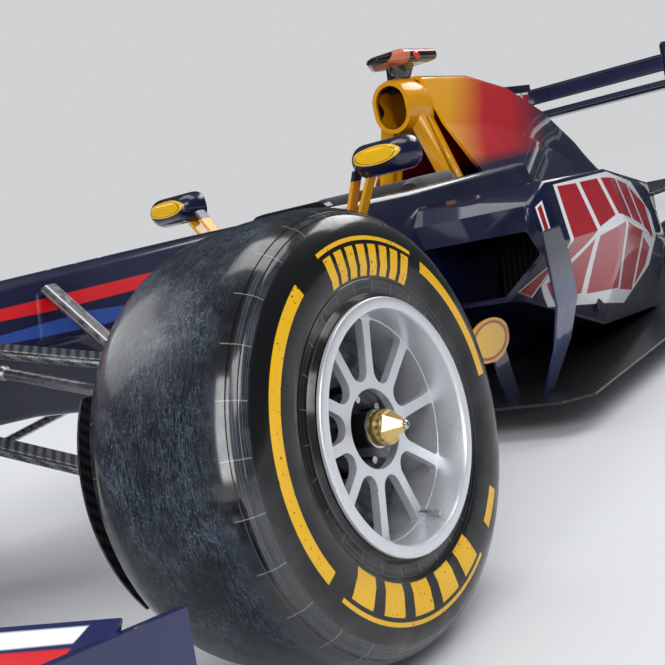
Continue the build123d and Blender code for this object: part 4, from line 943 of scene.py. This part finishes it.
# points round the section, how square it is, and how far it swells above and below
RING_POINTS, SQUARENESS, CROWN, BELLY = 24, 3.2, 1.06, 0.98
ARM_STEP, ARM_POINTS, BEND_RADIUS, BACK_STEP = 0.02, 11, 0.055, 0.03
END_TAPER = (0.80, 0.94, 1.0)
SEAM_LEVEL, SEAM_HALF = 0.634, 0.0022


def cushion_ring(place, across, half, deep):
    """Points round a crowned section with soft corners, flat below"""
    ring = []
    for k in range(RING_POINTS):
        a = 2 * pi * k / RING_POINTS
        side, rise = cos(a), sin(a)
        pull = (abs(side) ** SQUARENESS + abs(rise) ** SQUARENESS) ** (-1 / SQUARENESS)
        height = HEAD_LEVEL + rise * pull * deep * (CROWN if rise > 0 else BELLY)
        ring.append(place + across * side * pull * half + Vector((0, 0, height)))
    return ring


# woven cloth: dull, with a faint sheen and fine threads
cover, tree, shader = surface("headrest_cover", Roughness=0.75, Sheen_Weight=0.3)
place, x, y, z = split(tree)
cloth = node(tree, "TexNoise", None, Vector=place, Scale=500.0, Detail=3.0)
seam = node(tree, "Math", "ABSOLUTE", node(tree, "Math", "SUBTRACT", z, SEAM_LEVEL))
sewn = node(tree, "MapRange", None, seam, 0.0, SEAM_HALF, 1.0, 0.0)
tone = node(tree, "MixRGB", None, cloth, linear("1B1C20"), linear("2A2B30"))
join(tree, painted(tree, tone, (both(tree, sewn, 0.7), "08080A")), shader, "Base Color")
height = node(tree, "Math", "MULTIPLY_ADD", sewn, -4.0, cloth.outputs[0])
join(tree, node(tree, "Bump", None, Strength=0.35, Distance=0.0005, Height=height), shader, "Normal")

low_corner, high_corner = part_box("headrest")
arm_x = high_corner[0] - HEAD_HALF
back_y = high_corner[1] - HEAD_HALF - 0.004
path = [Vector((arm_x, low_corner[1] + 0.012 + ARM_STEP * k, 0)) for k in range(ARM_POINTS)]
path += [Vector((arm_x - BEND_RADIUS * (1 - cos(a)), back_y - BEND_RADIUS * (1 - sin(a)), 0))
         for a in (radians(15 * k) for k in range(7))]
path += [Vector((arm_x - BEND_RADIUS - BACK_STEP * k, back_y, 0)) for k in range(1, 4)]
path += [Vector((-p.x, p.y, 0)) for p in reversed(path)]
form = bmesh.new()
rings = []
for k, point in enumerate(path):
    run = (path[min(k + 1, len(path) - 1)] - path[max(k - 1, 0)]).normalized()
    taper = END_TAPER[min(k, len(path) - 1 - k, 2)]
    section = cushion_ring(point, Vector((run.y, -run.x, 0)), HEAD_HALF * taper, HEAD_DEEP * taper)
    rings.append([form.verts.new(v) for v in section])
for one, two in zip(rings, rings[1:]):
    for k in range(RING_POINTS):
        after = (k + 1) % RING_POINTS
        form.faces.new((one[k], one[after], two[after], two[k]))
form.faces.new(rings[0])
form.faces.new(rings[-1])
bmesh.ops.recalc_face_normals(form, faces=form.faces)
head_pad = fitted(form, "headrest_pad", cover, "chassis")
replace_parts(head_pad, "headrest")

# Steering wheel. A carbon plate with black rubber grips, a dark screen, and rows of coloured buttons
# and grey dials of moulded plastic, with a satin face, on the driver's side.
FACE_RISE = 0.026
BUTTON_COLOURS = {"red": "C8202A", "green": "1E9A4A", "blue": "2160B8", "yellow": "E8B010", "grey": "8A8C90"}
# place across, place up, radius, height, colour
BUTTONS = [
    (-0.062, 0.048, 0.0065, 0.008, "green"), (-0.062, 0.026, 0.0065, 0.008, "blue"),
    (-0.062, -0.010, 0.0065, 0.008, "yellow"), (-0.062, -0.034, 0.0085, 0.012, "grey"),
    (0.062, 0.048, 0.0065, 0.008, "red"), (0.062, 0.026, 0.0065, 0.008, "yellow"),
    (0.062, -0.010, 0.0065, 0.008, "blue"), (0.062, -0.034, 0.0085, 0.012, "grey"),
    (-0.026, -0.048, 0.0095, 0.014, "grey"), (0.026, -0.048, 0.0095, 0.014, "grey"),
    (0.0, -0.030, 0.0060, 0.010, "red"),
]
SCREEN_PLACE, SCREEN_SIZE = (0, 0.028, 0.003), (0.086, 0.044, 0.006)
GRIP_PLACE, GRIP_RADII = (0.1205, 0, -0.013), (0.0165, 0.062, 0.0185)


def block(matrix, size, soften, segments=3):
    """A box with rounded edges"""
    form = bmesh.new()
    bmesh.ops.create_cube(form, size=1.0, matrix=matrix @ Matrix.Diagonal((*size, 1)))
    bmesh.ops.bevel(form, geom=form.edges[:], offset=soften, affect="EDGES", segments=segments,
                    profile=0.5, material=-1)
    return form


column = next(j for j in frame["record"]["behaviour"]["joints"] if j["name"] == "steering_turn")
wheel_axis = Vector(column["axis"]).normalized()
across = Vector((1, 0, 0))
rise = wheel_axis.cross(across).normalized()
if rise.z < 0:
    rise = -rise
face_place = Vector(column["pos_m"]) + wheel_axis * FACE_RISE
to_face = Matrix.Translation(face_place) @ Matrix((across, rise, wheel_axis)).transposed().to_4x4()

for name, code in BUTTON_COLOURS.items():
    plastic, tree, shader = surface(f"{name}_button_plastic", Roughness=0.35)
    place = node(tree, "TexCoord").outputs["Object"]
    mottle = node(tree, "TexNoise", None, Vector=place, Scale=200.0)
    join(tree, painted(tree, linear(code), (both(tree, mottle, 0.2), "3A3A3C")), shader, "Base Color")
    form = bmesh.new()
    for u, v, radius, height, colour in BUTTONS:
        if colour == name:
            stud(form, 24, radius, radius * 0.88, height, to_face @ Matrix.Translation((u, v, height / 2)))
    fitted(form, f"{name}_buttons", plastic, "steering")

# smeared glass over a dark screen, and dull rubber with open pores
screen_black = mottled("screen_black", "050608", "0C0E12", 60.0, 3.0, Roughness=0.12)
fitted(block(to_face @ Matrix.Translation(SCREEN_PLACE), SCREEN_SIZE, 0.002), "steering_screen",
       screen_black, "steering")
grip_rubber = mottled("grip_rubber", "141416", "232326", 600.0, Roughness=0.7)
grained(grip_rubber, 600.0, 2.0, 0.4, 0.0004)
for hand, side in HANDS.items():
    form = bmesh.new()
    bmesh.ops.create_uvsphere(form, u_segments=32, v_segments=20, radius=1.0)
    place = to_face @ Matrix.Translation(on_side(side, GRIP_PLACE))
    bmesh.ops.transform(form, matrix=place @ Matrix.Diagonal((*GRIP_RADII, 1)), verts=form.verts)
    fitted(form, f"steering_grip_{hand}", grip_rubber, "steering")

# Panel screws. Flat steel screws with a small six sided head on top, along the edges of the body's
# panels. A ray on the CAD shell finds the place of each and the way it faces.
ABOVE, BESIDE = 1.2, 0.9
DOWN, INWARDS = (0, 0, -1), (-1, 0, 0)
# shell, ray starts on the left side, ray's way, radius
SCREW_ROWS = [
    ("monocoque", [(BESIDE, -1.485, z) for z in (0.34, 0.42, 0.50)], INWARDS, 0.0045),
    ("nose_cone", [(BESIDE, -1.540, z) for z in (0.34, 0.42, 0.50)], INWARDS, 0.0045),
    ("monocoque", [(0.085, y, ABOVE) for y in (-1.29, -1.16, -1.03)], DOWN, 0.0045),
    ("monocoque", [(0.0005, -1.30, ABOVE), (0.0005, -1.02, ABOVE)], DOWN, 0.0045),
    ("engine_cover", [(BESIDE, 0.50 + 0.16 * k, 0.600 - 0.017 * k) for k in range(8)], INWARDS, 0.0050),
    ("sidepod", [(0.560 - 0.02 * k, -0.03 + 0.16 * k, ABOVE) for k in range(4)], DOWN, 0.0050),
    ("nose_cone", [(BESIDE, -1.62 - 0.16 * k, 0.33 + 0.01 * k) for k in range(3)], INWARDS, 0.0040),
]


def shell_tree(name):
    """A search tree on a CAD shell's triangles"""
    form = bmesh.new()
    form.from_mesh(frame["nodes"][name].data)
    found = BVHTree.FromBMesh(form)
    form.free()
    return found


screws = bmesh.new()
for name, starts, way, radius in SCREW_ROWS:
    for hand, side in HANDS.items():
        found = shell_tree(f"sidepod_{hand}" if name == "sidepod" else name)
        for start in starts:
            spot, facing, _, _ = found.ray_cast(on_side(side, start), on_side(side, way))
            if spot is None:
                continue
            seat = Matrix.Translation(spot) @ facing.to_track_quat("Z", "Y").to_matrix().to_4x4()
            stud(screws, 14, radius, radius * 0.86, 0.0016, seat)
            stud(screws, 6, radius * 0.46, radius * 0.40, 0.0026, seat)
fitted(screws, "panel_screws", steel, "chassis")

# Pitot tube. A thin steel tube on the tub's top that bends forwards into the wind, on a turned foot.
# Its line is a smooth curve through three points.
PITOT_Y, PITOT_RADIUS = -1.37, 0.0035
PITOT_POINTS = [(0.0, -0.004), (-0.006, 0.070), (-0.085, 0.088)]
spot = shell_tree("monocoque").ray_cast(Vector((0, PITOT_Y, ABOVE)), Vector(DOWN))[0]
line = bpy.data.curves.new("pitot_line", "CURVE")
line.dimensions = "3D"
line.bevel_depth = PITOT_RADIUS
line.bevel_resolution = 4
line.use_fill_caps = True
bend = line.splines.new("BEZIER")
bend.bezier_points.add(len(PITOT_POINTS) - 1)
for point, (along, up) in zip(bend.bezier_points, PITOT_POINTS):
    point.co = (0, spot.y + along, spot.z + up)
    point.handle_left_type = point.handle_right_type = "AUTO"
holder = bpy.data.objects.new("pitot_line", line)
form = bmesh.new()
form.from_mesh(bpy.data.meshes.new_from_object(holder))
bpy.data.objects.remove(holder)
stud(form, 20, 0.011, 0.007, 0.012, Matrix.Translation((0, spot.y, spot.z + 0.003)))
fitted(form, "pitot_tube", steel, "chassis")

# Radiators. Cores of black aluminium behind the sidepods' inlets, leaned back: fins with painted shade
# that darkens towards their gaps, crossed by bare water tubes. Real fins stand 2 mm apart; they are
# drawn 6 mm apart.
FIN_PITCH, TUBE_PITCH, TUBE_WIDTH = 0.006, 0.018, 0.003
CORE_PLACE, CORE_SIZE, CORE_LEAN = (0.440, 0.262, 0.360), (0.280, 0.045, 0.330), radians(-12)
core, tree, shader = surface("black_aluminium_fins", Metallic=0.7, Roughness=0.5)
place, x, y, z = split(tree)
fin = node(tree, "Math", "FLOORED_MODULO", z, FIN_PITCH)
gap_shade = node(tree, "MapRange", None, fin, FIN_PITCH * 0.4, FIN_PITCH * 0.55, 0.0, 1.0)
tube = node(tree, "Math", "LESS_THAN", node(tree, "Math", "FLOORED_MODULO", x, TUBE_PITCH), TUBE_WIDTH)
# painted shade: the fins' gaps are painted near black
join(tree, painted(tree, linear("3A3B3E"), (gap_shade, "0A0A0B"), (tube, "5A5B5F")), shader, "Base Color")
join(tree, node(tree, "Bump", None, Strength=0.6, Distance=0.002, Height=gap_shade), shader, "Normal")
for hand, side in HANDS.items():
    place = Matrix.Translation(on_side(side, CORE_PLACE))
    form = block(place @ Matrix.Rotation(CORE_LEAN, 4, "X"), CORE_SIZE, 0.004, 2)
    fitted(form, f"radiator_{hand}", core, "chassis")

# Rain light. A block of glossy red plastic on the tail of the gearbox, with a grid of brighter bulbs
# that show through it.
BULB_PITCH = 0.012
LIGHT_SIZE, LIGHT_LEVEL, LIGHT_SUNK = (0.072, 0.020, 0.066), 0.3035, 0.003
lamp_red, tree, shader = surface("red_lamp_cover", Roughness=0.2, Coat_Weight=0.6)
place, x, y, z = split(tree)
cells = []
for value in (x, z):
    step = node(tree, "Math", "FLOORED_MODULO", value, BULB_PITCH)
    cells.append(node(tree, "Math", "ABSOLUTE", node(tree, "Math", "SUBTRACT", step, BULB_PITCH / 2)))
bulb = node(tree, "MapRange", None, any_of(tree, cells), 0.0030, 0.0040, 1.0, 0.0)
join(tree, painted(tree, linear("7A0C10"), (bulb, "D8202A")), shader, "Base Color")
low_corner, high_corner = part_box("gearbox")
place = Matrix.Translation((0, high_corner[1] - LIGHT_SUNK, LIGHT_LEVEL))
fitted(block(place, LIGHT_SIZE, 0.004), "rain_light", lamp_red, "chassis")
